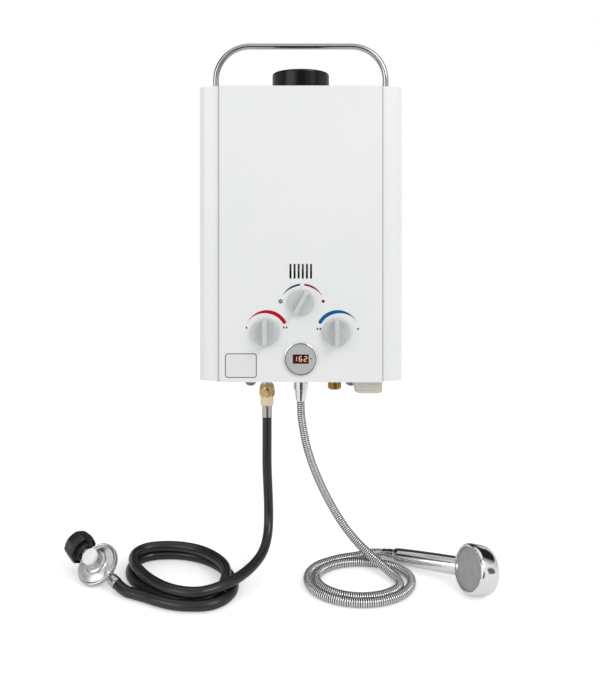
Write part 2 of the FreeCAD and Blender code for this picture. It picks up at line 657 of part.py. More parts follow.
# --------------------------------------------------------------------------------------------------
# Handle
# --------------------------------------------------------------------------------------------------
def carry_handle():
    """The bent stainless tube, swept along its bail-shaped path, with a cross hole in each leg."""
    handle = body("carry_handle")
    spine = handle.newObject("Sketcher::SketchObject", "carry_handle_spine")
    spine.AttachmentSupport = [(origin_plane(handle, "XZ_Plane"), "")]
    spine.MapMode = "FlatFace"
    half, rise, bend, tail = handle_half, dim.handle_rise, dim.handle_bend, dim.pivot_tail
    inner = half.value - bend.value
    shoulder = rise.value - bend.value
    spine.addGeometry([
        Part.LineSegment(V(-half.value, -tail.value, 0), V(-half.value, shoulder, 0)),
        Part.ArcOfCircle(Part.Circle(V(-inner, shoulder, 0), V(0, 0, 1), bend.value), math.pi / 2, math.pi),
        Part.LineSegment(V(-inner, rise.value, 0), V(inner, rise.value, 0)),
        Part.ArcOfCircle(Part.Circle(V(inner, shoulder, 0), V(0, 0, 1), bend.value), 0, math.pi / 2),
        Part.LineSegment(V(half.value, shoulder, 0), V(half.value, -tail.value, 0)),
    ], False)
    for rule in (("Tangent", 0, 2, 1, 2), ("Tangent", 1, 1, 2, 1), ("Tangent", 2, 2, 3, 2),
                 ("Tangent", 3, 1, 4, 1)):
        spine.addConstraint(Sketcher.Constraint(*rule))
    for rule, size in ((("DistanceX", -1, 1, 0, 1), -half), (("DistanceY", -1, 1, 0, 1), -tail),
                       (("DistanceX", -1, 1, 4, 2), half), (("DistanceY", -1, 1, 4, 2), -tail),
                       (("DistanceY", -1, 1, 2, 1), rise), (("DistanceX", -1, 1, 2, 1), bend - half),
                       (("DistanceX", -1, 1, 2, 2), half - bend)):
        number = spine.addConstraint(Sketcher.Constraint(*rule, size.value))
        bind(spine, "Constraints[%d]" % number, size)
    number = spine.addConstraint(Sketcher.Constraint("Radius", 1, bend.value))
    bind(spine, "Constraints[%d]" % number, bend)
    spine.addConstraint(Sketcher.Constraint("Vertical", 0))
    ring = Circle(-half, 0, dim.handle_tube)
    bore = Circle(-half, 0, dim.handle_tube - 2 * dim.handle_wall)
    sweep = handle.newObject("PartDesign::AdditivePipe", "carry_handle_sweep")
    sweep.Profile = sketch_on(handle, "XY_Plane", -tail, [ring, bore])
    sweep.Spine = (spine, [])
    handle.Tip = sweep
    doc.recompute()
    cross = dim.pivot_pin + 2 * dim.running_gap
    pocket(handle, "YZ_Plane", half + dim.handle_tube, [Circle(0, 0, cross)], 2 * dim.handle_tube)
    pocket(handle, "YZ_Plane", -half - dim.handle_tube, [Circle(0, 0, cross)], 2 * dim.handle_tube, flip=True)
    place(handle, 0, -dim.pivot_line, case_top + dim.pivot_rise)


def handle_brackets():
    """Two folded clips on the top plate, each with an ear on both sides of its leg."""
    brackets = body("handle_brackets")
    near = dim.handle_tube / 2 + dim.fit_gap
    for side in (-1, 1):
        centre = side * handle_half
        base = rectangle(centre - near - dim.ear_sheet, centre + near + dim.ear_sheet, -dim.ear_half,
                         dim.ear_half)
        pad(brackets, "XY_Plane", -dim.pivot_rise, [base], dim.ear_sheet)
        for start in (centre - near - dim.ear_sheet, centre + near):
            ear = rectangle(-dim.ear_half, dim.ear_half, -dim.pivot_rise + dim.ear_sheet, dim.ear_half)
            pad(brackets, "YZ_Plane", start, [ear], dim.ear_sheet)
    soften(brackets, dim.ear_half - dim.fit_gap, lambda edge: spans(edge, "X")
           and lies(edge, "Z", dim.ear_half))
    hole = Circle(0, 0, dim.pivot_pin + 2 * dim.running_gap)
    far = handle_half + dim.handle_tube
    pocket(brackets, "YZ_Plane", far, [hole], 2 * dim.handle_tube)
    pocket(brackets, "YZ_Plane", -far, [hole], 2 * dim.handle_tube, flip=True)
    place(brackets, 0, -dim.pivot_line, case_top + dim.pivot_rise)


def handle_pins():
    """The headed pins that carry the handle's legs in the brackets."""
    pins = body("handle_pins")
    reach = dim.handle_tube / 2 + dim.fit_gap + dim.ear_sheet
    for side in (-1, 1):
        outer = side * (handle_half + reach)
        pad(pins, "YZ_Plane", outer, [Circle(0, 0, dim.pivot_pin)], 2 * reach + dim.ear_sheet, flip=side > 0)
        pad(pins, "YZ_Plane", outer, [Circle(0, 0, 2 * dim.pivot_pin)], dim.ear_sheet, flip=side < 0)
    place(pins, 0, -dim.pivot_line, case_top + dim.pivot_rise)


# --------------------------------------------------------------------------------------------------
# Controls and read-out
# --------------------------------------------------------------------------------------------------
def knob(label, dia, x, z, turn):
    """A moulded knob: a dished skirt under a straight grip bar, with a blind bore for its spindle."""
    made = body(label)
    radius = dia / 2
    skirt = dim.knob_skirt
    edge = dim.knob_edge
    dish = skirt - dim.knob_dish
    profile = [(0, 0), (radius, 0), (radius, skirt - edge), (radius - edge, skirt),
               (radius - dim.knob_rim, skirt), (radius / 2, dish), (0, dish)]
    revolve(made, profile)
    bar = rectangle(-dim.knob_bar / 2, dim.knob_bar / 2, -radius + edge, radius - edge)
    pad(made, "XY_Plane", skirt / 2, [bar], dim.knob_height - skirt / 2)
    soften(made, dim.knob_round, lambda edge: lies(edge, "Z", dim.knob_height))
    pocket(made, "XY_Plane", 0, [Circle(0, 0, dim.spindle_dia + 2 * dim.running_gap)], dim.knob_bore_depth,
           flip=True)
    turned = FACING_FRONT.multiply(FreeCAD.Rotation(V(0, 0, 1), -turn))
    place(made, x, -dim.case_depth - dim.knob_stand, z, turned)


def knobs():
    knob("gas_knob", dim.knob_dia, -dim.knob_spread, knob_z, 0)
    knob("water_knob", dim.knob_dia, dim.knob_spread, knob_z, 0)
    knob("season_knob", dim.season_knob_dia, 0, season_z, dim.season_turn.value)


def spindle(label, x, z, start):
    """A turned spindle from a valve's boss to the blind end of its knob."""
    made = body(label)
    end = dim.case_depth + dim.knob_stand + dim.knob_bore_depth - dim.fit_gap
    seat = -start + dim.boss_rise - dim.spindle_seat + dim.fit_gap
    profile = [(0, seat), (dim.spindle_dia / 2, seat), (dim.spindle_dia / 2, end), (0, end)]
    revolve(made, profile)
    place(made, x, 0, z, FACING_FRONT)


def spindles():
    spindle("gas_spindle", -dim.knob_spread, knob_z, valve_face)
    spindle("water_spindle", dim.knob_spread, knob_z, valve_face)
    spindle("season_spindle", 0, season_z, valve_face)


def display():
    """The round read-out: chromed bezel, face disc, window and the board behind."""
    bezel = body("display_bezel")
    outer = dim.bezel_dia / 2
    bore = dim.bezel_bore / 2
    neck = bore + dim.cover_sheet
    stand, slope, lip = dim.bezel_stand, dim.bezel_slope, dim.bezel_lip
    profile = [(bore, -dim.bezel_neck), (neck, -dim.bezel_neck), (neck, 0), (outer, 0),
               (outer, stand - slope), (outer - slope, stand), (bore + lip, stand), (bore, stand - lip)]
    revolve(bezel, profile)
    place(bezel, 0, -dim.case_depth, display_z, FACING_FRONT)

    face = body("display_face")
    half_wide = dim.window_width / 2
    half_high = dim.window_height / 2
    window = rectangle(-half_wide, half_wide, -half_high, half_high)
    pad(face, "XY_Plane", -dim.face_sheet, [Circle(0, 0, dim.bezel_bore - 2 * dim.running_gap), window],
        dim.face_sheet)
    place(face, 0, -dim.case_depth, display_z, FACING_FRONT)

    lens = body("display_window")
    clear = dim.running_gap
    pane = rectangle(clear - half_wide, half_wide - clear, clear - half_high, half_high - clear)
    pad(lens, "XY_Plane", -dim.face_sheet, [pane], dim.face_sheet)
    place(lens, 0, -dim.case_depth, display_z, FACING_FRONT)

    board = body("display_board")
    back = -dim.bezel_neck
    sheet = rectangle(-dim.board_width / 2, dim.board_width / 2, -dim.board_height / 2, dim.board_height / 2)
    pad(board, "XY_Plane", back - dim.board_sheet, [sheet], dim.board_sheet)
    module = rectangle(-half_wide, half_wide, -half_high, half_high)
    pad(board, "XY_Plane", back, [module], dim.bezel_neck - dim.face_sheet)
    chip = rectangle(-half_wide / 2, half_wide / 2, -half_high, half_high)
    pad(board, "XY_Plane", back - dim.board_sheet, [chip], dim.board_part, flip=True)
    place(board, 0, -dim.case_depth, display_z, FACING_FRONT)


# --------------------------------------------------------------------------------------------------
# Heat exchanger and burner
# --------------------------------------------------------------------------------------------------
def combustion_chamber():
    """The copper box around the fins and the flames, with four feet back to the rear panel."""
    chamber = body("combustion_chamber")
    half = dim.chamber_width / 2
    wall = dim.chamber_sheet
    outer = rectangle(-half, half, chamber_front, chamber_back)
    inner = rectangle(wall - half, half - wall, chamber_front + wall, chamber_back - wall)
    pad(chamber, "XY_Plane", chamber_bottom, [outer, inner], chamber_height)
    foot_reach = -dim.chassis_sheet - chamber_back
    for level in (chamber_top - dim.chamber_foot, chamber_bottom + 2 * dim.chamber_foot):
        for side in (-1, 1):
            x = side * (half - dim.chamber_foot)
            foot = rectangle(x - dim.chamber_foot / 2, x + dim.chamber_foot / 2, level - wall, level + wall)
            pad(chamber, "XZ_Plane", -chamber_back, [foot], foot_reach, flip=True)
    holes = [Circle(port_y + step * dim.tube_pitch, tube_z, dim.tube_dia + 2 * dim.fit_gap)
             for step in (-1, 0, 1)]
    pocket(chamber, "YZ_Plane", half, holes, dim.chamber_width)
    rods = [Circle(side * dim.electrode_spread, chamber_bottom + dim.chamber_foot,
                   dim.electrode_dia + 2 * dim.running_gap) for side in (-1, 1)]
    pocket(chamber, "XZ_Plane", -chamber_front, rods, 2 * wall)


def fin_block():
    """The copper core with its combs of fins above and below, bored for the three tube passes."""
    block = body("fin_block")
    half = dim.chamber_width / 2 - dim.chamber_sheet - dim.fit_gap
    low = tube_z - dim.fin_height / 2
    front = chamber_front + dim.chamber_sheet + dim.fit_gap
    back = chamber_back - dim.chamber_sheet - dim.fit_gap
    pad(block, "XY_Plane", low, [rectangle(-half, half, front, back)], dim.fin_height)
    first = -half + dim.fin_pitch - dim.fin_gap
    count = ((2 * half - dim.fin_pitch) / dim.fin_pitch).whole()
    gap = rectangle(first, first + dim.fin_gap, tube_z + dim.fin_height / 2 - dim.fin_cut,
                    tube_z + dim.fin_height / 2)
    under = rectangle(first, first + dim.fin_gap, low, low + dim.fin_cut)
    cut = pocket(block, "XZ_Plane", -front, [gap, under], dim.chamber_depth)
    row(block, cut, "H_Axis", dim.fin_pitch, count)
    holes = [Circle(port_y + step * dim.tube_pitch, tube_z, dim.tube_dia + 2 * dim.running_gap)
             for step in (-1, 0, 1)]
    pocket(block, "YZ_Plane", half, holes, 2 * half)


def exchanger_tube():
    """The copper tube that passes three times through the fins."""
    reach = dim.chamber_width.value / 2 + dim.tube_stub.value
    pitch = dim.tube_pitch.value
    y = port_y.value
    z = tube_z.value
    points = [(reach, y + pitch, z), (-reach, y + pitch, z), (-reach, y, z), (reach, y, z),
              (reach, y - pitch, z), (-reach, y - pitch, z)]
    # Just under half the pitch, so that a short straight stays between the two bends of a return.
    bend = pitch / 2 - 0.01
    bore = dim.tube_dia.value - 2 * dim.tube_wall.value
    feature("exchanger_tube", tube_shape(points, dim.tube_dia.value, bore, bend)[0])


def burner():
    """The burner tray under the chamber and its row of slotted blades."""
    tray = body("burner_tray")
    half = dim.chamber_width / 2
    wall = dim.tray_sheet
    outer = rectangle(-half, half, chamber_front, chamber_back)
    inner = rectangle(wall - half, half - wall, chamber_front + wall, chamber_back - wall)
    pad(tray, "XY_Plane", tray_bottom, [outer], dim.tray_height)
    pocket(tray, "XY_Plane", chamber_bottom, [inner], dim.tray_height - wall)
    pitch = dim.blade_pitch
    first = -(dim.blade_count - 1) * pitch / 2
    hole = Circle(first, port_y, dim.jet_dia + 2 * dim.fit_gap)
    cut = pocket(tray, "XY_Plane", tray_bottom + wall, [hole], wall)
    row(tray, cut, "H_Axis", pitch, dim.blade_count)

    blades = body("burner_blades")
    blade = rectangle(first - dim.blade_width / 2, first + dim.blade_width / 2,
                      chamber_front + 2 * wall, chamber_back - 2 * wall)
    made = pad(blades, "XY_Plane", tray_bottom + wall, [blade], dim.blade_height)
    row(blades, made, "H_Axis", pitch, dim.blade_count)
    slot = rectangle(first - dim.blade_slot / 2, first + dim.blade_slot / 2, chamber_front + 4 * wall,
                     chamber_back - 4 * wall)
    cut = pocket(blades, "XY_Plane", tray_bottom + wall + dim.blade_height, [slot], dim.blade_slot_deep)
    row(blades, cut, "H_Axis", pitch, dim.blade_count)
    inlet = Circle(first, port_y, dim.jet_dia + 2 * dim.fit_gap)
    cut = pocket(blades, "XY_Plane", tray_bottom + wall, [inlet], dim.blade_height / 2, flip=True)
    row(blades, cut, "H_Axis", pitch, dim.blade_count)


def gas_manifold():
    """The gas rail under the burner: a row of jets above, and the season valve's body in front."""
    rail = body("gas_manifold")
    first = -(dim.blade_count - 1) * dim.blade_pitch / 2
    half = -first + dim.blade_pitch / 2
    deep = dim.manifold_deep / 2
    pad(rail, "XY_Plane", manifold_bottom, [rectangle(-half, half, port_y - deep, port_y + deep)],
        dim.manifold_height)
    jet_rise = dim.manifold_gap + dim.tray_sheet + dim.jet_height
    made = pad(rail, "XY_Plane", manifold_top, [Circle(first, port_y, dim.jet_dia)], jet_rise)
    row(rail, made, "H_Axis", dim.blade_pitch, dim.blade_count)
    wide = dim.season_valve_half
    low = season_z - dim.season_valve_height / 2
    housing = rectangle(-wide, wide, valve_face, port_y + deep)
    pad(rail, "XY_Plane", low, [housing], manifold_bottom - low)
    pad(rail, "XZ_Plane", -valve_face, [Circle(0, season_z, dim.boss_dia)], dim.boss_rise)
    pocket(rail, "XZ_Plane", -valve_face + dim.boss_rise,
           [Circle(0, season_z, dim.spindle_dia + 2 * dim.running_gap)], dim.spindle_seat)


def igniter():
    """The ignition box on the rear panel, the spark and flame rods, and the overheat cut-out."""
    box = body("ignition_box")
    right = case_half - 3 * dim.side_flange / 2
    top = tray_bottom - dim.fit_gap
    outline = rectangle(right - dim.igniter_width, right, top - dim.igniter_height, top)
    pad(box, "XZ_Plane", dim.chassis_sheet, [outline], dim.igniter_deep)
    soften(box, dim.knob_round, lambda edge: spans(edge, "Y"))

    rods = body("electrodes")
    level = chamber_bottom + dim.chamber_foot
    reach = dim.chamber_depth / 3
    for side in (-1, 1):
        x = side * dim.electrode_spread
        pad(rods, "XZ_Plane", -chamber_front - reach, [Circle(x, level, dim.electrode_dia)],
            reach + dim.electrode_dia)
        pad(rods, "XZ_Plane", -chamber_front, [Circle(x, level, 3 * dim.electrode_dia)],
            dim.electrode_dia)

    cutout = body("overheat_switch")
    middle = chamber_top - chamber_height / 2
    pad(cutout, "XZ_Plane", -chamber_front, [Circle(0, middle, dim.cutout_dia)], dim.cutout_rise)


# --------------------------------------------------------------------------------------------------
# Gas and water valves, pipes
# --------------------------------------------------------------------------------------------------
def valve_block(label, x, width):
    """A cast valve block with rounded corners and a spindle boss on its face."""
    valve = body(label)
    block = rectangle(x - width / 2, x + width / 2, valve_face, valve_face + dim.valve_deep)
    pad(valve, "XY_Plane", valve_bottom, [block], dim.valve_height)
    soften(valve, dim.valve_round, upright)
    pad(valve, "XZ_Plane", -valve_face, [Circle(x, knob_z, dim.boss_dia)], dim.boss_rise)
    pocket(valve, "XZ_Plane", -valve_face + dim.boss_rise,
           [Circle(x, knob_z, dim.spindle_dia + 2 * dim.running_gap)], dim.spindle_seat)
    return valve


def valves():
    gas = valve_block("gas_valve", -dim.port_spread, dim.valve_width)
    pad(gas, "XY_Plane", valve_top, [Circle(-dim.port_spread, port_y, dim.riser_dia)],
        manifold_bottom - valve_top)

    solenoid = body("gas_solenoid")
    left = dim.port_spread + dim.valve_width / 2
    pad(solenoid, "YZ_Plane", -left, [Circle(port_y, knob_z, dim.solenoid_dia)], dim.solenoid_length,
        flip=True)
    soften(solenoid, dim.knob_round, lambda edge: lies(edge, "X", -left - dim.solenoid_length))

    water = valve_block("water_valve", dim.port_spread, dim.water_valve_width)
    seat = dim.port_spread - dim.water_valve_width / 2
    pad(water, "YZ_Plane", seat, [Circle(port_y, knob_z, dim.diaphragm_dia)], dim.diaphragm_sheet, flip=True)

    cover = body("diaphragm_cover")
    inner = seat - dim.diaphragm_sheet
    pad(cover, "YZ_Plane", inner, [Circle(port_y, knob_z, dim.diaphragm_dia)], dim.diaphragm_sheet, flip=True)
    rod_end = -dim.port_spread + dim.valve_width / 2
    pad(cover, "YZ_Plane", inner - dim.diaphragm_sheet, [Circle(port_y, knob_z, dim.rod_dia)],
        inner - dim.diaphragm_sheet - rod_end - dim.fit_gap, flip=True)

    outline = rectangle(dim.port_spread - dim.switch_width, dim.port_spread, port_y - dim.switch_deep / 2,
                        port_y + dim.switch_deep / 2)
    pad(water, "XY_Plane", valve_top, [outline], dim.switch_height)


def pipes():
    """The copper water pipes, bent in space round the chamber."""
    bore = dim.tube_dia.value - 2 * dim.tube_wall.value
    bend = dim.pipe_bend.value
    reach = dim.chamber_width.value / 2 + dim.tube_stub.value
    back = port_y.value + dim.tube_pitch.value
    front = port_y.value - dim.tube_pitch.value
    z = tube_z.value
    aside = dim.chamber_width.value / 2 + dim.tube_stub.value + 1.6 * bend
    below = manifold_bottom.value - 1.5 * bend
    cold_x = dim.port_spread.value + dim.tube_dia.value / 2
    over = valve_top.value + 1.5 * bend
    cold = [(cold_x, back, valve_top.value), (cold_x, back, over), (aside, back, over),
            (aside, back, z), (reach, back, z)]
    feature("cold_pipe", tube_shape(cold, dim.tube_dia.value, bore, bend)[0])
    rear = -dim.chassis_sheet.value - dim.tube_dia.value
    outlet_top = plate_inside.value + dim.port_sheet.value + dim.port_sheet.value
    hot = [(-reach, front, z), (-aside, front, z), (-aside, front, below), (-aside, rear, below),
           (0, rear, below), (0, rear, outlet_top + 1.5 * bend), (0, port_y.value, outlet_top + 1.5 * bend),
           (0, port_y.value, outlet_top)]
    feature("hot_pipe", tube_shape(hot, dim.tube_dia.value, bore, 0.7 * bend)[0])


# --------------------------------------------------------------------------------------------------
# Ports on the underside
# --------------------------------------------------------------------------------------------------
def port(label, x, dia, bore, top, reach):
    """A turned fitting through the bottom plate: a flange seated on the plate and a spigot below."""
    made = body(label)
    radius = dia / 2
    flange = dim.port_flange / 2
    seat = dim.chassis_sheet
    relief = radius - dim.thread_relief
    profile = [(bore / 2, -reach), (radius, -reach), (radius, -dim.relief_height), (relief, -dim.relief_height),
               (relief, seat), (flange, seat),
               (flange, seat + dim.port_sheet), (radius, seat + dim.port_sheet), (radius, top),
               (bore / 2, top)]
    revolve(made, profile)
    place(made, x, port_y, case_bottom)


def ports():
    valve_seat = valve_bottom - case_bottom
    port("gas_inlet", -dim.port_spread, dim.gas_stub_dia, dim.gas_bore, valve_seat, dim.gas_stub_reach)
    port("cold_inlet", dim.port_spread, dim.thread_dia, dim.water_bore, valve_seat, dim.thread_reach)
    outlet_top = dim.chassis_sheet + 2 * dim.port_sheet
    port("hot_outlet", 0, dim.thread_dia, dim.water_bore, outlet_top,
         dim.shower_nut_top + dim.shower_nut_height - dim.port_sheet)


# --------------------------------------------------------------------------------------------------
# Battery box
# --------------------------------------------------------------------------------------------------
def battery_box():
    """The moulded holder in the bottom plate, two cells standing in it, and its hinged cover."""
    holder = body("battery_holder")
    wall = dim.battery_wall
    outer = rectangle(dim.battery_left, battery_right, -dim.battery_front, battery_back)
    inner = rectangle(dim.battery_left + wall, battery_right - wall, -dim.battery_front + wall,
                      battery_back - wall)
    height = case_bottom + dim.battery_rise - lid_top
    pad(holder, "XY_Plane", lid_top, [outer], height)
    soften(holder, dim.battery_round, upright)
    rim = dim.battery_flange
    flange = rectangle(dim.battery_left - rim, battery_right + rim, -dim.battery_front - rim,
                       battery_back + rim)
    pad(holder, "XY_Plane", case_bottom + dim.chassis_sheet, [flange], wall)
    pocket(holder, "XY_Plane", lid_top, [inner], height - wall, flip=True)
    middle = (dim.battery_left + battery_right) / 2
    axis_y = battery_back + dim.hinge_dia / 2 + dim.fit_gap
    axis_z = lid_top - dim.battery_lid / 2
    half = dim.hinge_width / 2 + dim.fit_gap
    knuckle = Circle(axis_y, axis_z, dim.hinge_dia)
    web = rectangle(battery_back - wall / 2, axis_y + dim.hinge_dia / 2, lid_top, lid_top + dim.hinge_dia)
    drop = rectangle(battery_back + dim.fit_gap, axis_y + dim.hinge_dia / 2, axis_z, lid_top)
    pad(holder, "YZ_Plane", middle - half, [Circle(axis_y, axis_z, dim.hinge_pin)], 2 * half)
    for start in (middle - half - dim.hinge_dia, middle + half):
        pad(holder, "YZ_Plane", start, [knuckle], dim.hinge_dia)
        pad(holder, "YZ_Plane", start, [web], dim.hinge_dia)
        pad(holder, "YZ_Plane", start, [drop], dim.hinge_dia)

    cells = body("battery_cells")
    radius = dim.cell_dia / 2
    top = case_bottom + dim.battery_rise - wall - dim.fit_gap
    centres = [battery_back - wall - dim.fit_gap - radius, -dim.battery_front + wall + dim.fit_gap + radius]
    can = dim.cell_length - wall
    for y in centres:
        pad(cells, "XY_Plane", top - wall, [Circle(middle, y, dim.cell_dia)], can, flip=True)
        pad(cells, "XY_Plane", top - wall, [Circle(middle, y, dim.cell_button)], wall)

    lid = body("battery_cover")
    outline = rectangle(-dim.battery_width / 2, dim.battery_width / 2, -dim.battery_deep, 0)
    pad(lid, "XY_Plane", -dim.battery_lid, [outline], dim.battery_lid - dim.fit_gap)
    soften(lid, dim.battery_round, upright)
    soften(lid, dim.battery_lid / 2, lambda edge: lies(edge, "Z", -dim.battery_lid))
    axis_y = dim.hinge_dia / 2 + dim.fit_gap
    axis_z = -dim.battery_lid / 2
    half = dim.hinge_width / 2
    arm = rectangle(-half, half, -dim.battery_lid / 2, axis_y)
    pad(lid, "XY_Plane", axis_z - dim.hinge_pin, [arm], 2 * dim.hinge_pin)
    pad(lid, "YZ_Plane", -half, [Circle(axis_y, axis_z, dim.hinge_dia)], dim.hinge_width)
    pocket(lid, "YZ_Plane", half, [Circle(axis_y, axis_z, dim.hinge_pin + 2 * dim.running_gap)],
           dim.hinge_width)
    place(lid, middle, battery_back, lid_top)


# --------------------------------------------------------------------------------------------------
# Hose fittings
# --------------------------------------------------------------------------------------------------
def hexagon(corner):
    """Six corners on a circle, two of them on the X axis."""
    radius = corner / 2
    half = radius / 2
    rise = radius * math.sqrt(0.75)
    return [(radius, 0), (half, rise), (-half, rise), (-radius, 0), (-half, -rise), (half, -rise)]


def gas_fittings():
    """The union nut, the hose fitting and the crimped ferrule at the top of the gas hose."""
    nut = body("gas_hose_nut")
    neck = dim.gas_nut_neck / 2
    hex_height = dim.gas_nut_height - dim.gas_neck_height
    pad(nut, "XY_Plane", -dim.gas_nut_height, [hexagon(dim.gas_nut_corner)], hex_height)
    pad(nut, "XY_Plane", -dim.gas_neck_height, [Circle(0, 0, 2 * neck)], dim.gas_neck_height)
    soften(nut, dim.gas_neck_height / 2, lambda edge: lies(edge, "Z", 0))
    pocket(nut, "XY_Plane", 0, [Circle(0, 0, dim.gas_stub_dia + 2 * dim.running_gap)],
           dim.gas_nut_height - dim.gas_neck_height)
    place(nut, -dim.port_spread, port_y, gas_nut_z)

    fitting = body("gas_hose_fitting")
    corner = dim.fitting_flat / math.sqrt(0.75)
    pad(fitting, "XY_Plane", -dim.fitting_height, [hexagon(corner), Circle(0, 0, dim.gas_bore)],
        dim.fitting_height)
    place(fitting, -dim.port_spread, port_y, fitting_z)

    ferrule("gas_hose_ferrule", dim.ferrule_height)
    place(NODES[-1], -dim.port_spread, port_y, gas_ferrule_z)


def ferrule(label, length):
    """A steel crimp ferrule with a rolled edge, hanging from its local origin."""
    made = body(label)
    radius = dim.ferrule_dia / 2
    bore = dim.gas_bore / 2
    edge = dim.ferrule_edge
    profile = [(bore, -length), (radius, -length), (radius, -edge), (radius - edge, 0), (bore, 0)]
    revolve(made, profile)
    return made


def shower_fittings():
    """The ribbed nut and the tapering cone at the top of the shower hose."""
    nut = body("shower_hose_nut")
    radius = dim.shower_nut_dia / 2
    bore = dim.thread_dia / 2 + dim.running_gap
    edge = dim.shower_nut_edge
    low = -dim.shower_nut_height
    profile = [(dim.gas_bore / 2, low), (radius - edge, low), (radius, low + edge), (radius, -edge),
               (radius - edge, 0), (bore, 0), (bore, low + dim.shower_nut_web),
               (dim.gas_bore / 2, low + dim.shower_nut_web)]
    revolve(nut, profile)
    place(nut, 0, port_y, shower_nut_z)

    cone = body("shower_hose_cone")
    profile = [(dim.gas_bore / 2, -dim.cone_height), (dim.cone_end / 2, -dim.cone_height),
               (dim.cone_top / 2, -dim.cone_straight), (dim.cone_top / 2, 0), (dim.gas_bore / 2, 0)]
    revolve(cone, profile)
    place(cone, 0, port_y, cone_z)


# --------------------------------------------------------------------------------------------------
# Hoses: each has its route's own points, and a ring where it is coiled on the ground
# --------------------------------------------------------------------------------------------------
GAS_DROP = [
    (-52, -65, gas_hose_z.value), (-52, -65, -545), (-52.2, -65.3, -580), (-51, -65.6, -612),
    (-49.6, -67.5, -640), (-49, -74, -666), (-50, -88, -684), (-55, -107, -697), (-66, -131, -703),
    (-81, -156, -705), (-98, -179, -704.8), (-119, -195, -706),
]
GAS_TAIL = [
    (-156, -208.5, -719.5), (-175, -204.3, -719.5), (-195, -196, -719.5), (-213.5, -186.3, -719.5),
    (-230.5, -179, -719.5), (-244.8, -172.9, -719.3), (-256.88, -162.52, -715.54),
]
SHOWER_DROP = [
    (0, -65, shower_hose_z.value), (0, -65, -503), (3.5, -65, -529), (9.5, -65.3, -558),
    (19.5, -66, -588), (33, -67, -619), (49.5, -69, -650), (67.5, -74, -676.5), (86, -84, -695),
    (105, -100, -707), (124, -118.5, -715.5), (138, -136.5, -720),
]
SHOWER_TAIL = [
    (50, -86, -720.4), (67, -78.8, -720.4), (83, -75, -720.4), (97, -69, -720.4), (109, -64.5, -720.3),
    (120, -64.4, -719.8), (127.45, -70.3, -718.36),
]


def coil_shape(centre_x, centre_y, long, deep, band, height, lean):
    """The outer shape of a coil of hose on the ground: an oval ring, rounded over its top."""
    base = floor_z.value
    centre = V(centre_x.value, centre_y.value, base)
    turn = FreeCAD.Rotation(V(0, 0, 1), lean.value)
    lengthwise = turn.multVec(V(1, 0, 0))
    crosswise = turn.multVec(V(0, 1, 0))

    def oval(inset):
        curve = Part.Ellipse(centre + lengthwise * (long.value / 2 - inset),
                             centre + crosswise * (deep.value / 2 - inset), centre)
        return Part.Wire(curve.toShape())

    ring = Part.Face([oval(0), oval(band.value)], "Part::FaceMakerBullseye")
    solid = ring.extrude(V(0, 0, height.value))
    edges = [edge for edge in solid.Edges if lies(edge, "Z", base + height.value)]
    return solid.makeFillet(min(dim.coil_round.value, height.value / 3), edges)


def hoses():
    """Both hoses, each a drop, a coil on the ground and a tail to its end fitting."""
    for label, points, dia in (("gas_hose_drop", GAS_DROP, dim.gas_hose_dia),
                               ("gas_hose_tail", GAS_TAIL, dim.gas_hose_dia),
                               ("shower_hose_drop", SHOWER_DROP, dim.shower_hose_dia),
                               ("shower_hose_tail", SHOWER_TAIL, dim.shower_hose_dia)):
        shape, length, radius = tube_shape(points, dia.value)
        feature(label, shape)
        print("%s: length %.0f mm, tightest arc %.0f mm" % (label, length, radius))
    feature("gas_hose_coil", coil_shape(dim.gas_coil_x, dim.gas_coil_y, dim.gas_coil_long, dim.gas_coil_deep,
                                        dim.gas_coil_band, dim.gas_coil_height, dim.gas_coil_lean))
    feature("shower_hose_coil", coil_shape(dim.shower_coil_x, dim.shower_coil_y, dim.shower_coil_long,
                                           dim.shower_coil_deep, dim.shower_coil_band,
                                           dim.shower_coil_height, dim.shower_coil_lean))


# --------------------------------------------------------------------------------------------------
# Regulator: local X along its inlet, local Z along the diaphragm's axis
# --------------------------------------------------------------------------------------------------
REGULATOR_INLET = V(-0.741, 0.629, 0.2345)
REGULATOR_UP = V(-0.27, -0.60, 0.755)
ALONG_X = FreeCAD.Rotation(V(0, 1, 0), 90)


def on_regulator(item, turn=None, along=0):
    """Seats a piece at a distance along the regulator's inlet axis."""
    frame = FreeCAD.Rotation(REGULATOR_INLET, V(), REGULATOR_UP, "XZY")
    inlet = frame.multVec(V(1, 0, 0))
    shift = [Size.of(along) * component for component in (inlet.x, inlet.y, inlet.z)]
    place(item, dim.regulator_x + shift[0], dim.regulator_y + shift[1],
          floor_z + dim.regulator_lift + shift[2], frame.multiply(turn) if turn else frame)


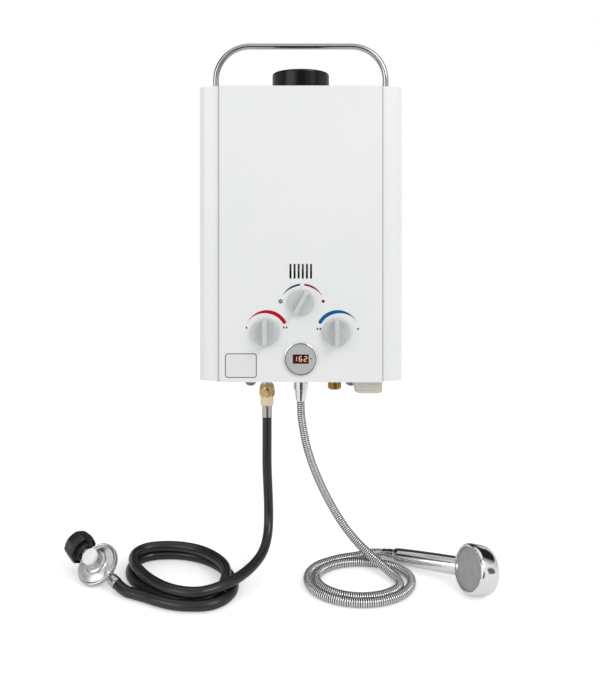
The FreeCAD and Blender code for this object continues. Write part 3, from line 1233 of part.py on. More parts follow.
def regulator():
    """The die-cast regulator with its stem, the bonnet cap, the end ferrule and the cylinder nut."""
    case = body("regulator_body")
    rim = dim.regulator_dia / 2
    low, high, band = -dim.rim_low, dim.rim_high, dim.rim_band
    radius = dim.bonnet_dia / 2
    base = dim.bonnet_base / 2
    profile = [(0, -dim.body_depth), (dim.body_foot / 2, -dim.body_depth), (dim.body_shoulder / 2, low - band / 2),
               (rim - band, low), (rim, low + band / 2), (rim, high - band / 2), (rim - band / 2, high),
               (rim - band, high), (rim - band - dim.dish_low, dim.dish_low),
               (rim - dim.dish_ring, dim.dish_low), (base, dim.bonnet_base_rise - dim.dish_low),
               (base, dim.bonnet_base_rise), (radius, dim.bonnet_base_rise), (radius, dim.bonnet_top),
               (0, dim.bonnet_top)]
    revolve(case, profile)
    pad(case, "YZ_Plane", 0, [Circle(0, 0, dim.inlet_dia)], dim.inlet_reach)
    pad(case, "YZ_Plane", dim.inlet_reach - dim.stem_flange_sheet, [Circle(0, 0, dim.stem_flange)],
        dim.stem_flange_sheet)
    pad(case, "YZ_Plane", 0, [Circle(0, 0, dim.outlet_boss)], dim.outlet_reach, flip=True)
    on_regulator(case)

    cap = body("regulator_bonnet")
    top = dim.bonnet_top
    revolve(cap, [(0, top), (radius, top), (radius, top + dim.cap_rise - dim.cap_edge),
                  (radius - dim.cap_edge, top + dim.cap_rise), (0, top + dim.cap_rise)])
    on_regulator(cap)

    end = ferrule("regulator_ferrule", dim.end_ferrule)
    on_regulator(end, ALONG_X, -dim.outlet_reach)

    nut = body("cylinder_nut")
    outer = dim.cylinder_nut_dia / 2
    start = dim.cylinder_nut_start
    finish = start + dim.cylinder_nut_length
    web = start + dim.cylinder_nut_web
    thread = finish - dim.cylinder_thread_length
    hole = dim.inlet_dia / 2 + dim.running_gap
    cavity = dim.cylinder_thread / 2 - dim.thread_step
    edge = dim.nut_edge
    collar = dim.nut_collar_dia / 2
    collar_end = start + dim.nut_collar_length
    profile = [(hole, start), (collar - edge, start), (collar, start + edge), (collar, collar_end),
               (outer - edge, collar_end), (outer, collar_end + edge), (outer, finish - edge),
               (outer - edge, finish), (dim.cylinder_thread / 2, finish), (dim.cylinder_thread / 2, thread),
               (cavity, thread), (cavity, web), (hole, web)]
    revolve(nut, profile)
    lobe = Circle(outer + dim.lobe_dia / 4, 0, dim.lobe_dia)
    cut = pocket(nut, "XY_Plane", finish, [lobe], finish - collar_end)
    around(nut, cut, dim.lobe_count)
    on_regulator(nut, ALONG_X)


# --------------------------------------------------------------------------------------------------
# Hand shower: local Z out of the spray face, the grip leaning from it towards local X
# --------------------------------------------------------------------------------------------------
SHOWER_FACE = V(-0.866, -0.445, 0.228)
SHOWER_GRIP = V(-0.783, 0.602, -0.158)


def hand_shower():
    """The plated hand shower with its domed head and tapering grip, its spray plate and end nut."""
    lean = dim.handle_lean.value
    frame = FreeCAD.Rotation(SHOWER_GRIP, V(), SHOWER_FACE, "ZXY")
    centre = (dim.shower_x, dim.shower_y, floor_z + dim.shower_lift)
    head = dim.head_dia / 2
    face = dim.face_dia / 2
    deep = dim.head_depth

    shower = body("hand_shower")
    seat = dim.face_seat
    edge = dim.head_edge
    pocket_edge = face + dim.running_gap
    dome = [(0, -deep), (dim.head_back / 2, -deep), (dim.head_shoulder / 2, -deep + dim.head_crown),
            (head - edge / 2, -deep + dim.head_fall), (head, -deep / 2), (head, -edge), (head - edge, 0),
            (pocket_edge, 0), (pocket_edge, -seat), (0, -seat)]
    revolve(shower, dome)
    root = dim.grip_root / 2
    end = dim.grip_end / 2
    neck = dim.grip_neck
    long = dim.grip_length
    rounding = dim.grip_edge
    grip = [(0, 0), (dim.grip_start / 2, 0), (root - rounding, neck), (root, 2 * neck),
            (end, long - dim.grip_taper), (end - rounding, long), (0, long)]
    revolve(shower, grip, -lean, (dim.grip_inset, -dim.grip_back))
    place(shower, *centre, frame)

    plate = body("spray_plate")
    revolve(plate, [(0, dim.running_gap - seat), (face, dim.running_gap - seat), (face, 0),
                    (face - dim.face_rise, dim.face_rise), (0, dim.face_rise)])
    nozzle = pad(plate, "XY_Plane", dim.face_rise, [Circle(dim.nozzle_ring / 2, 0, dim.nozzle_dia)],
                 dim.face_rise)
    around(plate, nozzle, dim.nozzle_count)
    place(plate, *centre, frame)

    nut = body("shower_end_nut")
    radius = dim.end_nut_dia / 2
    bore = dim.gas_bore / 2
    start = dim.grip_length
    step = start + dim.end_nut_step
    stop = start + dim.end_nut_length
    neck = dim.end_nut_neck / 2
    profile = [(bore, start), (radius, start), (radius, step), (neck, step), (neck, stop), (bore, stop)]
    revolve(nut, profile, -lean, (dim.grip_inset, -dim.grip_back))
    place(nut, *centre, frame)


# --------------------------------------------------------------------------------------------------
# Build, check and export
# --------------------------------------------------------------------------------------------------
def check_and_export():
    doc.recompute()
    for item in doc.Objects:
        if "Invalid" in item.State or "Error" in item.State:
            raise RuntimeError("%s did not compute" % item.Label)
    os.makedirs("parts", exist_ok=True)
    for item in NODES:
        shape = item.Shape
        if shape.isNull() or not shape.isValid() or not shape.Solids:
            raise RuntimeError("%s has no valid solid" % item.Label)
        box = shape.BoundBox
        if box.ZMin < floor_z.value - 0.01:
            print("%s reaches %.2f mm below the ground" % (item.Label, floor_z.value - box.ZMin))
        shape.exportStep(os.path.join("parts", item.Label + ".step"))
    print("%d nodes" % len(NODES))


front_cover()
rear_panel()
end_plates()
case_screws()
flue_collar()
flue_guard()
flue_hood()
carry_handle()
handle_brackets()
handle_pins()
knobs()
spindles()
display()
combustion_chamber()
fin_block()
exchanger_tube()
burner()
gas_manifold()
igniter()
valves()
pipes()
ports()
battery_box()
gas_fittings()
shower_fittings()
hoses()
regulator()
hand_shower()
check_and_export()
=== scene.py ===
"""Looks of the portable propane water heater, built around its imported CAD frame.

Lengths are written in millimetres and turned into metres where geometry is made. X is to the right,
-Y to the front and Z up; the origin is the hanging hole on the wall plane.
"""
import json
import math

import bmesh
import bpy
from mathutils import Matrix, Vector


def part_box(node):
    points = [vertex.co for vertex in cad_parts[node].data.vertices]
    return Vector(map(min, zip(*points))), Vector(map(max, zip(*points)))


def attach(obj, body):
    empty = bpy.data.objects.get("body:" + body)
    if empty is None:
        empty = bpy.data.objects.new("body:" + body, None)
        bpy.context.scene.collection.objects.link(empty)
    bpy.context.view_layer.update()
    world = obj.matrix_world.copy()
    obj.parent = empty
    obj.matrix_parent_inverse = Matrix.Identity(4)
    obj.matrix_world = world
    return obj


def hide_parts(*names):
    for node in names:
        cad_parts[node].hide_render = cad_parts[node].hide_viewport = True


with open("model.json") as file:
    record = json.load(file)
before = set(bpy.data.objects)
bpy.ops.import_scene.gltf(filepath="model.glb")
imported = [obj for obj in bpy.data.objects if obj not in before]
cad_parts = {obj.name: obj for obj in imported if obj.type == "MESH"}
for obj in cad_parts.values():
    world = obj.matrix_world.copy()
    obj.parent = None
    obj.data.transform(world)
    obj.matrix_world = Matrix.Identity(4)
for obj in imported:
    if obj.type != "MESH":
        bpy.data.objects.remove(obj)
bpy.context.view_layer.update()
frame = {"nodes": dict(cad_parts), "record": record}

MM = 0.001
FLOOR = -727.0
CASE_TOP, CASE_BASE = -10.0, -442.0
PANEL, PANEL_HALF = -125.0, 118.4
STEP_RUN, STEP_RISE = 2.6, 4.5
KNOB_X, KNOB_Z = 52.0, -368.5
SEASON_Z = -325.0
DISPLAY_Z = -408.0
FRONTWARD, RIGHTWARD, UPWARD = (0, -1, 0), (1, 0, 0), (0, 0, 1)
SIDES = ((-1, "left"), (1, "right"))


def mm(x, y, z):
    """A point in millimetres as a vector in metres."""
    return Vector((x * MM, y * MM, z * MM))


def linked(name, data):
    """A new object in the scene."""
    made = bpy.data.objects.new(name, data)
    bpy.context.scene.collection.objects.link(made)
    return made


# ---- Camera ----
IMAGE_WIDTH, IMAGE_HEIGHT = 600, 675
FOCAL_PX = 687.0
PRINCIPAL_X, PRINCIPAL_Y = 300.75, 214.0
SENSOR_HEIGHT = 36.0
EYE = mm(0, -1125, -197)


def make_camera():
    """A level camera facing the front, shifted as the photograph is framed."""
    data = bpy.data.cameras.new("camera")
    data.sensor_fit = "VERTICAL"
    data.sensor_height = SENSOR_HEIGHT
    data.sensor_width = SENSOR_HEIGHT * IMAGE_WIDTH / IMAGE_HEIGHT
    data.lens = FOCAL_PX / IMAGE_HEIGHT * data.sensor_height
    data.shift_x = (IMAGE_WIDTH / 2 - PRINCIPAL_X) / IMAGE_HEIGHT
    data.shift_y = (PRINCIPAL_Y - IMAGE_HEIGHT / 2) / IMAGE_HEIGHT
    camera = linked("camera", data)
    camera.location = EYE
    camera.rotation_euler = (math.radians(90), 0, 0)
    bpy.context.scene.camera = camera


make_camera()


# ---- Material helpers ----
MATERIALS = {}
IOR, COAT_ROUGHNESS = 1.5, 0.06
# Detail of the noise that drifts a finish and of the noise that gives it relief.
DRIFT_DETAIL, RELIEF_DETAIL = 3.0, 2.0
# The part of the noise's range over which a finish drifts.
NOISE_LOW, NOISE_HIGH = 0.35, 0.65
EVEN = (1, 1, 1)
# The sockets with which a mix node mixes colours.
MIX_FACTOR, MIX_FIRST, MIX_SECOND, MIX_RESULT = 0, 6, 7, 2


def ranged(tree, source, from_low, from_high, to_low=0.0, to_high=1.0):
    """Maps a socket's value from one range onto another."""
    made = tree.nodes.new("ShaderNodeMapRange")
    for name, value in (("From Min", from_low), ("From Max", from_high),
                        ("To Min", to_low), ("To Max", to_high)):
        made.inputs[name].default_value = value
    tree.links.new(source, made.inputs["Value"])
    return made.outputs["Result"]


def grey(level):
    return (level, level, level)


def blended(tree, factor, first, second):
    """Mixes two colours, each a socket or three levels."""
    made = tree.nodes.new("ShaderNodeMix")
    made.data_type = "RGBA"
    tree.links.new(factor, made.inputs[MIX_FACTOR])
    for socket, colour in ((MIX_FIRST, first), (MIX_SECOND, second)):
        if isinstance(colour, tuple):
            made.inputs[socket].default_value = (*colour, 1)
        else:
            tree.links.new(colour, made.inputs[socket])
    return made.outputs[MIX_RESULT]


class Shader:
    """A node material: a Principled surface with helpers that add procedural detail."""

    def __init__(self, name, colour, rough, metal=0.0, coat=0.0):
        self.made = bpy.data.materials.new(name)
        self.made.use_nodes = True
        self.tree = self.made.node_tree
        self.surface = self.tree.nodes["Principled BSDF"]
        self.set("Base Color", (*colour, 1))
        self.set("Roughness", rough)
        self.set("Metallic", metal)
        self.set("IOR", IOR)
        self.set("Coat Weight", coat)
        self.set("Coat Roughness", COAT_ROUGHNESS)
        self.colour = colour
        self.coordinates = self.tree.nodes.new("ShaderNodeTexCoord")
        self.height = None
        MATERIALS[name] = self.made

    def set(self, socket, value):
        self.surface.inputs[socket].default_value = value
        return self

    def node(self, kind, **values):
        """Adds a node whose named sockets or settings take the values."""
        made = self.tree.nodes.new("ShaderNode" + kind)
        for name, value in values.items():
            if name in made.inputs:
                made.inputs[name].default_value = value
            else:
                setattr(made, name, value)
        return made

    def join(self, source, target):
        self.tree.links.new(source, target)

    def noise(self, scale, detail, stretch=EVEN):
        """Noise in object space, whose scale is features per metre."""
        mapping = self.node("Mapping", Scale=stretch)
        self.join(self.coordinates.outputs["Object"], mapping.inputs["Vector"])
        made = self.node("TexNoise", Scale=scale, Detail=detail)
        self.join(mapping.outputs["Vector"], made.inputs["Vector"])
        return made.outputs["Fac"]

    def drift(self, scale, low, high):
        """A value that drifts between two others in patches."""
        return ranged(self.tree, self.noise(scale, DRIFT_DETAIL), NOISE_LOW, NOISE_HIGH, low, high)

    def vary_roughness(self, scale, low, high):
        self.join(self.drift(scale, low, high), self.surface.inputs["Roughness"])
        return self

    def vary_colour(self, scale, other):
        """Drifts the colour towards another one in patches."""
        mixed = blended(self.tree, self.drift(scale, 0, 1), self.colour, other)
        self.join(mixed, self.surface.inputs["Base Color"])
        return self

    def bump(self, scale, depth, stretch=EVEN):
        """Adds relief whose depth is in millimetres."""
        made = self.node("Bump", Distance=depth * MM)
        self.join(self.noise(scale, RELIEF_DETAIL, stretch), made.inputs["Height"])
        if self.height is not None:
            self.join(self.height, made.inputs["Normal"])
        self.height = made.outputs["Normal"]
        self.join(self.height, self.surface.inputs["Normal"])
        return self

    def glow(self, colour, strength):
        self.set("Emission Color", (*colour, 1))
        self.set("Emission Strength", strength)
        return self


def paints_and_plastics():
    """Enamels, moulded plastics and rubber, each with its own fine texture."""
    Shader("case_paint", (0.845, 0.855, 0.85), 0.36, coat=0.12).bump(900, 0.008) \
        .vary_roughness(45, 0.32, 0.42).vary_colour(6, (0.825, 0.84, 0.835))
    Shader("collar_enamel", (0.004, 0.004, 0.0045), 0.22).bump(1400, 0.003) \
        .vary_roughness(80, 0.17, 0.23).set("Specular IOR Level", 0.32)
    Shader("knob_plastic", (0.62, 0.64, 0.64), 0.36, coat=0.1).bump(2200, 0.006) \
        .vary_roughness(90, 0.3, 0.42).vary_colour(60, (0.57, 0.59, 0.59))
    Shader("face_plastic", (0.47, 0.48, 0.48), 0.42).bump(3000, 0.008).vary_roughness(200, 0.36, 0.46)
    Shader("window_plastic", (0.06, 0.012, 0.007), 0.14, coat=0.2).vary_roughness(120, 0.08, 0.16)
    Shader("black_plastic", (0.012, 0.012, 0.014), 0.34).bump(2600, 0.02) \
        .vary_roughness(140, 0.28, 0.42).vary_colour(50, (0.02, 0.02, 0.022))
    Shader("ivory_plastic", (0.66, 0.63, 0.54), 0.38, coat=0.1).bump(1800, 0.01) \
        .vary_roughness(90, 0.32, 0.44).vary_colour(35, (0.7, 0.67, 0.59)) \
        .set("Subsurface Weight", 0.12).set("Subsurface Scale", 0.004)
    Shader("white_plastic", (0.87, 0.87, 0.86), 0.3, coat=0.15).bump(2000, 0.006) \
        .vary_roughness(120, 0.25, 0.36)
    Shader("spray_plastic", (0.34, 0.34, 0.345), 0.5).bump(3000, 0.015) \
        .vary_roughness(200, 0.42, 0.55).vary_colour(120, (0.38, 0.38, 0.385))
    Shader("rubber_hose", (0.013, 0.013, 0.014), 0.32, coat=0.12).bump(2500, 0.02) \
        .vary_roughness(60, 0.24, 0.38)
    Shader("board", (0.012, 0.1, 0.03), 0.4).bump(900, 0.03).vary_colour(160, (0.02, 0.16, 0.05))
    Shader("battery_can", (0.05, 0.055, 0.06), 0.35, metal=0.6).vary_roughness(60, 0.3, 0.4)


def metals():
    """Plated, drawn and cast metals, each with its own grain and sheen, and a dark metal that paints the
    shade in the hose's grooves.
    """
    Shader("stainless", (0.52, 0.51, 0.48), 0.2, metal=1.0).bump(900, 0.004, stretch=(0.15, 1, 1)) \
        .vary_roughness(60, 0.16, 0.26)
    Shader("zinc_steel", (0.5, 0.51, 0.52), 0.4, metal=1.0).vary_roughness(150, 0.32, 0.5) \
        .vary_colour(60, (0.42, 0.43, 0.45))
    Shader("spindle_steel", (0.5, 0.5, 0.5), 0.3, metal=1.0).vary_roughness(200, 0.24, 0.36)
    Shader("chrome", (0.84, 0.85, 0.86), 0.06, metal=1.0).vary_roughness(70, 0.03, 0.09)
    Shader("chrome_hose", (0.86, 0.86, 0.87), 0.16, metal=1.0).vary_roughness(400, 0.1, 0.24) \
        .vary_colour(120, (0.78, 0.78, 0.79))
    # Painted shade: a dark metal for the hose's grooves, standing in for the shade in them.
    Shader("painted_groove_shade", (0.07, 0.07, 0.075), 0.45, metal=0.8).vary_roughness(400, 0.38, 0.5)
    Shader("brass", (0.62, 0.45, 0.2), 0.24, metal=1.0).bump(1600, 0.003) \
        .vary_roughness(140, 0.18, 0.28).vary_colour(90, (0.53, 0.37, 0.15))
    Shader("pale_brass", (0.86, 0.72, 0.52), 0.36, metal=0.85).bump(1600, 0.008) \
        .vary_roughness(140, 0.3, 0.42)
    Shader("copper", (0.71, 0.36, 0.22), 0.34, metal=1.0).vary_roughness(120, 0.28, 0.42) \
        .vary_colour(50, (0.55, 0.26, 0.15))
    Shader("cast_alloy", (0.7, 0.7, 0.7), 0.28, metal=1.0).bump(1500, 0.004) \
        .vary_roughness(160, 0.24, 0.32).vary_colour(90, (0.62, 0.62, 0.62))


def films_and_inks():
    """Inks of the dial marks and the blank plate, the paint for the painted shade on the panel's creases, and
    the lit figures.
    """
    for name, colour in (("ink_red", (0.5, 0.003, 0.02)), ("ink_dark_red", (0.22, 0.006, 0.02)),
                         ("ink_blue", (0.002, 0.11, 0.33)), ("ink_navy", (0.01, 0.05, 0.12)),
                         ("plate_border", (0.11, 0.1, 0.1))):
        Shader(name, colour, 0.4).set("Specular IOR Level", 0.08).vary_roughness(300, 0.35, 0.45)
    # Painted shade: a darker paint for the panel's step risers, standing in for the shade in the creases.
    Shader("crease_shade_paint", (0.5, 0.51, 0.505), 0.4, coat=0.1).bump(900, 0.008).vary_roughness(45, 0.36, 0.46)
    Shader("plate_film", (0.8, 0.8, 0.8), 0.3, coat=0.2).vary_roughness(120, 0.26, 0.36)
    Shader("figure_light", (0.8, 0.4, 0.3), 0.5).vary_roughness(300, 0.45, 0.55) \
        .glow((1.0, 0.5, 0.36), 0.55)


paints_and_plastics()
metals()
films_and_inks()


# ---- Mesh helpers ----
def as_object(name, data, look, body="heater", slot=None, replaces=(), smooth=None):
    """Links a mesh or curve, gives it its material, and makes it ride on its body."""
    made = linked(name, data)
    data.materials.append(MATERIALS[look])
    if smooth is not None:
        data.shade_smooth()
        data.set_sharp_from_angle(angle=math.radians(smooth))
    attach(made, body)
    if replaces:
        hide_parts(*replaces)
    return made


def mesh_from(name, points, faces):
    """A closed mesh from points in millimetres, its faces turned outward."""
    data = bpy.data.meshes.new(name)
    data.from_pydata([mm(*point) for point in points], [], faces)
    shaped = bmesh.new()
    shaped.from_mesh(data)
    bmesh.ops.recalc_face_normals(shaped, faces=shaped.faces)
    shaped.to_mesh(data)
    shaped.free()
    return data


def band(low, high, count):
    """The four-sided faces between two rings of points, each given by its first point's number."""
    return [(low + i, low + (i + 1) % count, high + (i + 1) % count, high + i) for i in range(count)]


def circle_point(x, z, radius, angle):
    """The point at a distance and an angle from a centre."""
    return x + radius * math.cos(angle), z + radius * math.sin(angle)


def turn_steps(count):
    """The angles of equal steps round a full turn."""
    return [2 * math.pi * step / count for step in range(count)]


def rounded_outline(x, z, width, height, radius, steps=6):
    """A rectangle's outline with round corners, about its middle."""
    outline = []
    for corner, (right, up) in enumerate(((1, 1), (-1, 1), (-1, -1), (1, -1))):
        centre = (x + right * (width / 2 - radius), z + up * (height / 2 - radius))
        for step in range(steps + 1):
            angle = math.pi / 2 * (corner + step / steps)
            outline.append(circle_point(*centre, radius, angle))
    return outline


def placed(origin, along, across):
    """A frame in millimetres whose Z runs along one direction and whose X leans towards another."""
    z = Vector(along).normalized()
    x = Vector(across)
    x = (x - z * x.dot(z)).normalized()
    made = Matrix((x, z.cross(x), z)).transposed().to_4x4()
    made.translation = Vector(origin)
    return made


def turned_shell(place, profile, closed=False, sides=72, facets=0, turn=0.0):
    """Points and faces of a turned form.

    The profile holds (radius, height) pairs. A third value says how far that ring is faceted, from
    nought for round to one for a full polygon.
    """
    points, rings, faces = [], [], []
    for radius, height, *share in profile:
        if radius == 0:
            rings.append([len(points)] * sides)
            points.append(place @ Vector((0, 0, height)))
            continue
        rings.append(range(len(points), len(points) + sides))
        for angle in turn_steps(sides):
            reach = radius
            if facets and share:
                half = math.pi / facets
                off = (angle - math.radians(turn) + half) % (2 * half) - half
                reach *= 1 + (math.cos(half) / math.cos(off) - 1) * share[0]
            points.append(place @ Vector((*circle_point(0, 0, reach, angle), height)))
    pairs = list(zip(rings, rings[1:])) + ([(rings[-1], rings[0])] if closed else [])
    for low, high in pairs:
        for i in range(sides):
            j = (i + 1) % sides
            face = tuple(dict.fromkeys((low[i], low[j], high[j], high[i])))
            if len(face) > 2:
                faces.append(face)
    return points, faces


def lofted_shell(outlines, closed=False):
    """Points and faces through outlines of equal length, capped at both ends or joined into a ring."""
    count = len(outlines[0])
    points = [point for outline in outlines for point in outline]
    faces = []
    last = len(outlines) - 1
    for ring in range(last + closed):
        faces += band(ring * count, (ring + 1) % len(outlines) * count, count)
    if not closed:
        faces += [tuple(range(count)), tuple(range(last * count, (last + 1) * count))]
    return points, faces


def piece(name, shells, look, smooth=28, **options):
    """One object made of several closed shells."""
    points, faces = [], []
    for shell_points, shell_faces in shells:
        faces += [tuple(index + len(points) for index in face) for face in shell_faces]
        points += shell_points
    return as_object(name, mesh_from(name, points, faces), look, smooth=smooth, **options)


PRINT_DEPTH = 0.12


def printed(name, outline, look, slot="face_plastic", front=PANEL, depth=PRINT_DEPTH):
    """A thin film on a surface that faces the front, from its outline of (x, z) points."""
    count = len(outline)
    points = [(x, front, z) for x, z in outline] + [(x, front - depth, z) for x, z in outline]
    faces = [tuple(range(count)), tuple(range(2 * count - 1, count - 1, -1))] + band(0, count, count)
    as_object(name, mesh_from(name, points, faces), look, slot=slot)


PLATE_STEPS = 96


def around_hole(name, centre, inner, outer, corners, fronts, look, **options):
    """A flat plate facing the front, whose hole and edge are reaches from a centre at each angle."""
    angles = sorted(turn_steps(PLATE_STEPS) + corners)
    outlines = []
    for reach, y in ((inner, fronts[0]), (outer, fronts[0]), (outer, fronts[1]), (inner, fronts[1])):
        ring = [circle_point(*centre, reach(angle), angle) for angle in angles]
        outlines.append([(x, y, z) for x, z in ring])
    piece(name, [lofted_shell(outlines, closed=True)], look, **options)


def box_reach(right, up, down):
    """The reach of a rectangle's edge from a point on its middle line, by angle."""
    nearly_none, far = 1e-9, 1e9

    def reach(angle):
        across, rise = abs(math.cos(angle)), math.sin(angle)
        side = right / across if across > nearly_none else far
        end = (up / rise if rise > 0 else down / -rise) if abs(rise) > nearly_none else far
        return min(side, end)
    return reach


# ---- CAD nodes keep their shapes and take their finishes ----
def dress_nodes():
    for part in frame["record"]["subparts"]:
        node = frame["nodes"][part["node"]]
        node.data.materials.clear()
        node.data.materials.append(MATERIALS[part["material_slot"]])


dress_nodes()


# ---- Dial marks ----
# The marks are printed this far right of the knobs' middle line.
MARK_SHIFT = 2.2
ARC_STEPS, CAP_STEPS = 36, 8
ARC_THIN, SMALL_THICK, LARGE_THICK = 0.4, 2.7, 5.4
# An arc has its full width from this share of its length, and swells by this power.
SWOLLEN_AT, SWELL_POWER = 0.7, 1.4
MARK_RISE = 0.9


def arc_through(first, middle, last):
    """The circle through three points, and places along it: each an angle and its share of the way."""
    (ax, az), (bx, bz), (cx, cz) = first, middle, last
    scale = 2 * (ax * (bz - cz) + bx * (cz - az) + cx * (az - bz))
    a, b, c = ax * ax + az * az, bx * bx + bz * bz, cx * cx + cz * cz
    x = (a * (bz - cz) + b * (cz - az) + c * (az - bz)) / scale
    z = (a * (cx - bx) + b * (ax - cx) + c * (bx - ax)) / scale
    radius = math.hypot(ax - x, az - z)
    start, stop = math.atan2(az - z, ax - x), math.atan2(cz - z, cx - x)
    turned = (stop - start + math.pi) % (2 * math.pi) - math.pi
    places = [(start + turned * i / ARC_STEPS, i / ARC_STEPS) for i in range(ARC_STEPS + 1)]
    return x, z, radius, places


def swelling_arc(name, knob, points, thick, look):
    """A dial's arc that swells to a round end, through three points counted from the knob's axis."""
    x, z, radius, places = arc_through(*points)
    x, z = x + knob[0], z + knob[1]
    inner, outer = [], []
    for angle, share in places:
        swell = math.sin(min(share / SWOLLEN_AT, 1) * math.pi / 2) ** SWELL_POWER
        half = (ARC_THIN + (thick - ARC_THIN) * swell) / 2
        outer.append(circle_point(x, z, radius + half, angle))
        inner.append(circle_point(x, z, radius - half, angle))
    tip = places[-1][0]
    tip_x, tip_z = circle_point(x, z, radius, tip)
    sense = 1 if tip > places[0][0] else -1
    cap = []
    for step in range(1, CAP_STEPS):
        turned = tip + sense * math.pi * step / CAP_STEPS
        cap.append(circle_point(tip_x, tip_z, thick / 2, turned))
    printed(name, outer + cap + inner[::-1], look)


def mirrored(points):
    """Points on the other side of the marks' middle line."""
    return [(2 * MARK_SHIFT - x, z) for x, z in points]


def flame_outline(x, z, width, height):
    """A small flame or drop: round below, and pulled in to a point above."""
    steps, pull, point = 16, 0.55, 1.4
    outline = []
    for angle in turn_steps(steps):
        up = math.sin(angle)
        reach = width / 2 * math.cos(angle) * (1 - pull * max(up, 0))
        outline.append((x + reach, z + height / 2 * (up if up < 0 else up ** point)))
    return outline


def snowflake(x, z):
    """Six arms about a ring, each arm with a short fork."""
    half_arm = [(0.5, -0.4), (1.5, -0.4), (2.1, -1.1), (3.0, -1.05), (2.6, -0.4), (3.6, -0.4)]
    profile = half_arm + [(a, -b) for a, b in half_arm[::-1]]
    for arm in range(6):
        angle = math.radians(60 * arm + 30)
        (ax, az), (bx, bz) = (math.cos(angle), math.sin(angle)), (-math.sin(angle), math.cos(angle))
        outline = [(x + ax * a + bx * b, z + az * a + bz * b) for a, b in profile]
        printed("snow_arm_%d" % arm, outline, "ink_navy")


def dial_marks():
    """Arcs that swell towards more, with flames, drops, a snowflake and a dot at their ends."""
    season, gas, water = (0, SEASON_Z), (-KNOB_X, KNOB_Z), (KNOB_X, KNOB_Z)
    upper = [(-25.9, 10.2), (-16.4, 19.6), (-1.9, 25.0)]
    swelling_arc("season_cool_arc", season, upper, SMALL_THICK, "ink_navy")
    swelling_arc("season_warm_arc", season, mirrored(upper), SMALL_THICK, "ink_dark_red")
    lower = [(-24.2, 16.2), (2.0, 29.3), (28.0, 14.3)]
    swelling_arc("gas_arc", gas, lower, LARGE_THICK, "ink_red")
    swelling_arc("water_arc", water, mirrored(lower), LARGE_THICK, "ink_blue")
    for index, (x, z) in enumerate(((-26.9, 6.2), (27.3, 6.4), (31.4, 6.4))):
        printed("flame_mark_%d" % index, flame_outline(gas[0] + x, gas[1] + z, 2.5, 3.9), "ink_dark_red")
    for index, (x, z) in enumerate(((31.4, 4.4), (-23.5, 4.4), (-27.6, 4.4))):
        printed("drop_mark_%d" % index, flame_outline(water[0] + x, water[1] + z, 3.0, 3.3), "ink_navy")
    dot = [circle_point(32.6, SEASON_Z + MARK_RISE, 2.3, angle) for angle in turn_steps(24)]
    printed("warm_dot", dot, "ink_dark_red")
    snowflake(-29.3, SEASON_Z + MARK_RISE)


dial_marks()


# ---- Display figures and blank plate ----
FIGURE_WIDTH, FIGURE_HEIGHT, FIGURE_SLANT, FIGURE_DEPTH = 3.9, 6.9, 0.06, 0.1
BAR_WIDTH, BAR_GAP = 1.0, 0.15


def bar_outline(start, stop):
    """A bar with pointed ends between two points of a figure, slanted as the figures are."""
    (ax, az), (bx, bz) = start, stop
    length = math.hypot(bx - ax, bz - az)
    along = ((bx - ax) / length, (bz - az) / length)
    across = (-along[1], along[0])
    half, near, far = BAR_WIDTH / 2, BAR_GAP, length - BAR_GAP
    profile = [(near, 0), (near + half, half), (far - half, half), (far, 0), (far - half, -half),
               (near + half, -half)]
    outline = []
    for a, b in profile:
        x, z = ax + along[0] * a + across[0] * b, az + along[1] * a + across[1] * b
        outline.append((x + FIGURE_SLANT * z, DISPLAY_Z + z))
    return outline


def figures():
    """The lit figures 162 on the window, each made of some of seven bars."""
    low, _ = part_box("display_window")
    window_front = low[1] / MM
    bars = {
        "top": [(-1, 1), (1, 1)], "upper_right": [(1, 1), (1, 0)], "lower_right": [(1, 0), (1, -1)],
        "base": [(-1, -1), (1, -1)], "lower_left": [(-1, 0), (-1, -1)], "upper_left": [(-1, 1), (-1, 0)],
        "middle": [(-1, 0), (1, 0)],
    }
    shown = (("1", -8.1, ("upper_right", "lower_right")),
             ("6", -0.3, ("top", "upper_left", "middle", "lower_left", "lower_right", "base")),
             ("2", 6.9, ("top", "upper_right", "middle", "lower_left", "base")))
    for figure, x, lit in shown:
        for name in lit:
            ends = [(x + side * FIGURE_WIDTH / 2, up * FIGURE_HEIGHT / 2) for side, up in bars[name]]
            printed("figure_%s_%s" % (figure, name), bar_outline(*ends), "figure_light",
                    slot="window_plastic", front=window_front, depth=FIGURE_DEPTH)


def blank_plate():
    """A bare film plate at the lower left, with a dark border."""
    x, z, width, height = -87.2, -417.7, 46.2, 35.6
    border, outer_round, inner_round, film_depth = 1.2, 4.2, 3.1, 0.06
    printed("plate_border", rounded_outline(x, z, width, height, outer_round), "plate_border")
    printed("plate_film", rounded_outline(x, z, width - 2 * border, height - 2 * border, inner_round),
            "plate_film", front=PANEL - PRINT_DEPTH, depth=film_depth)


figures()
blank_plate()
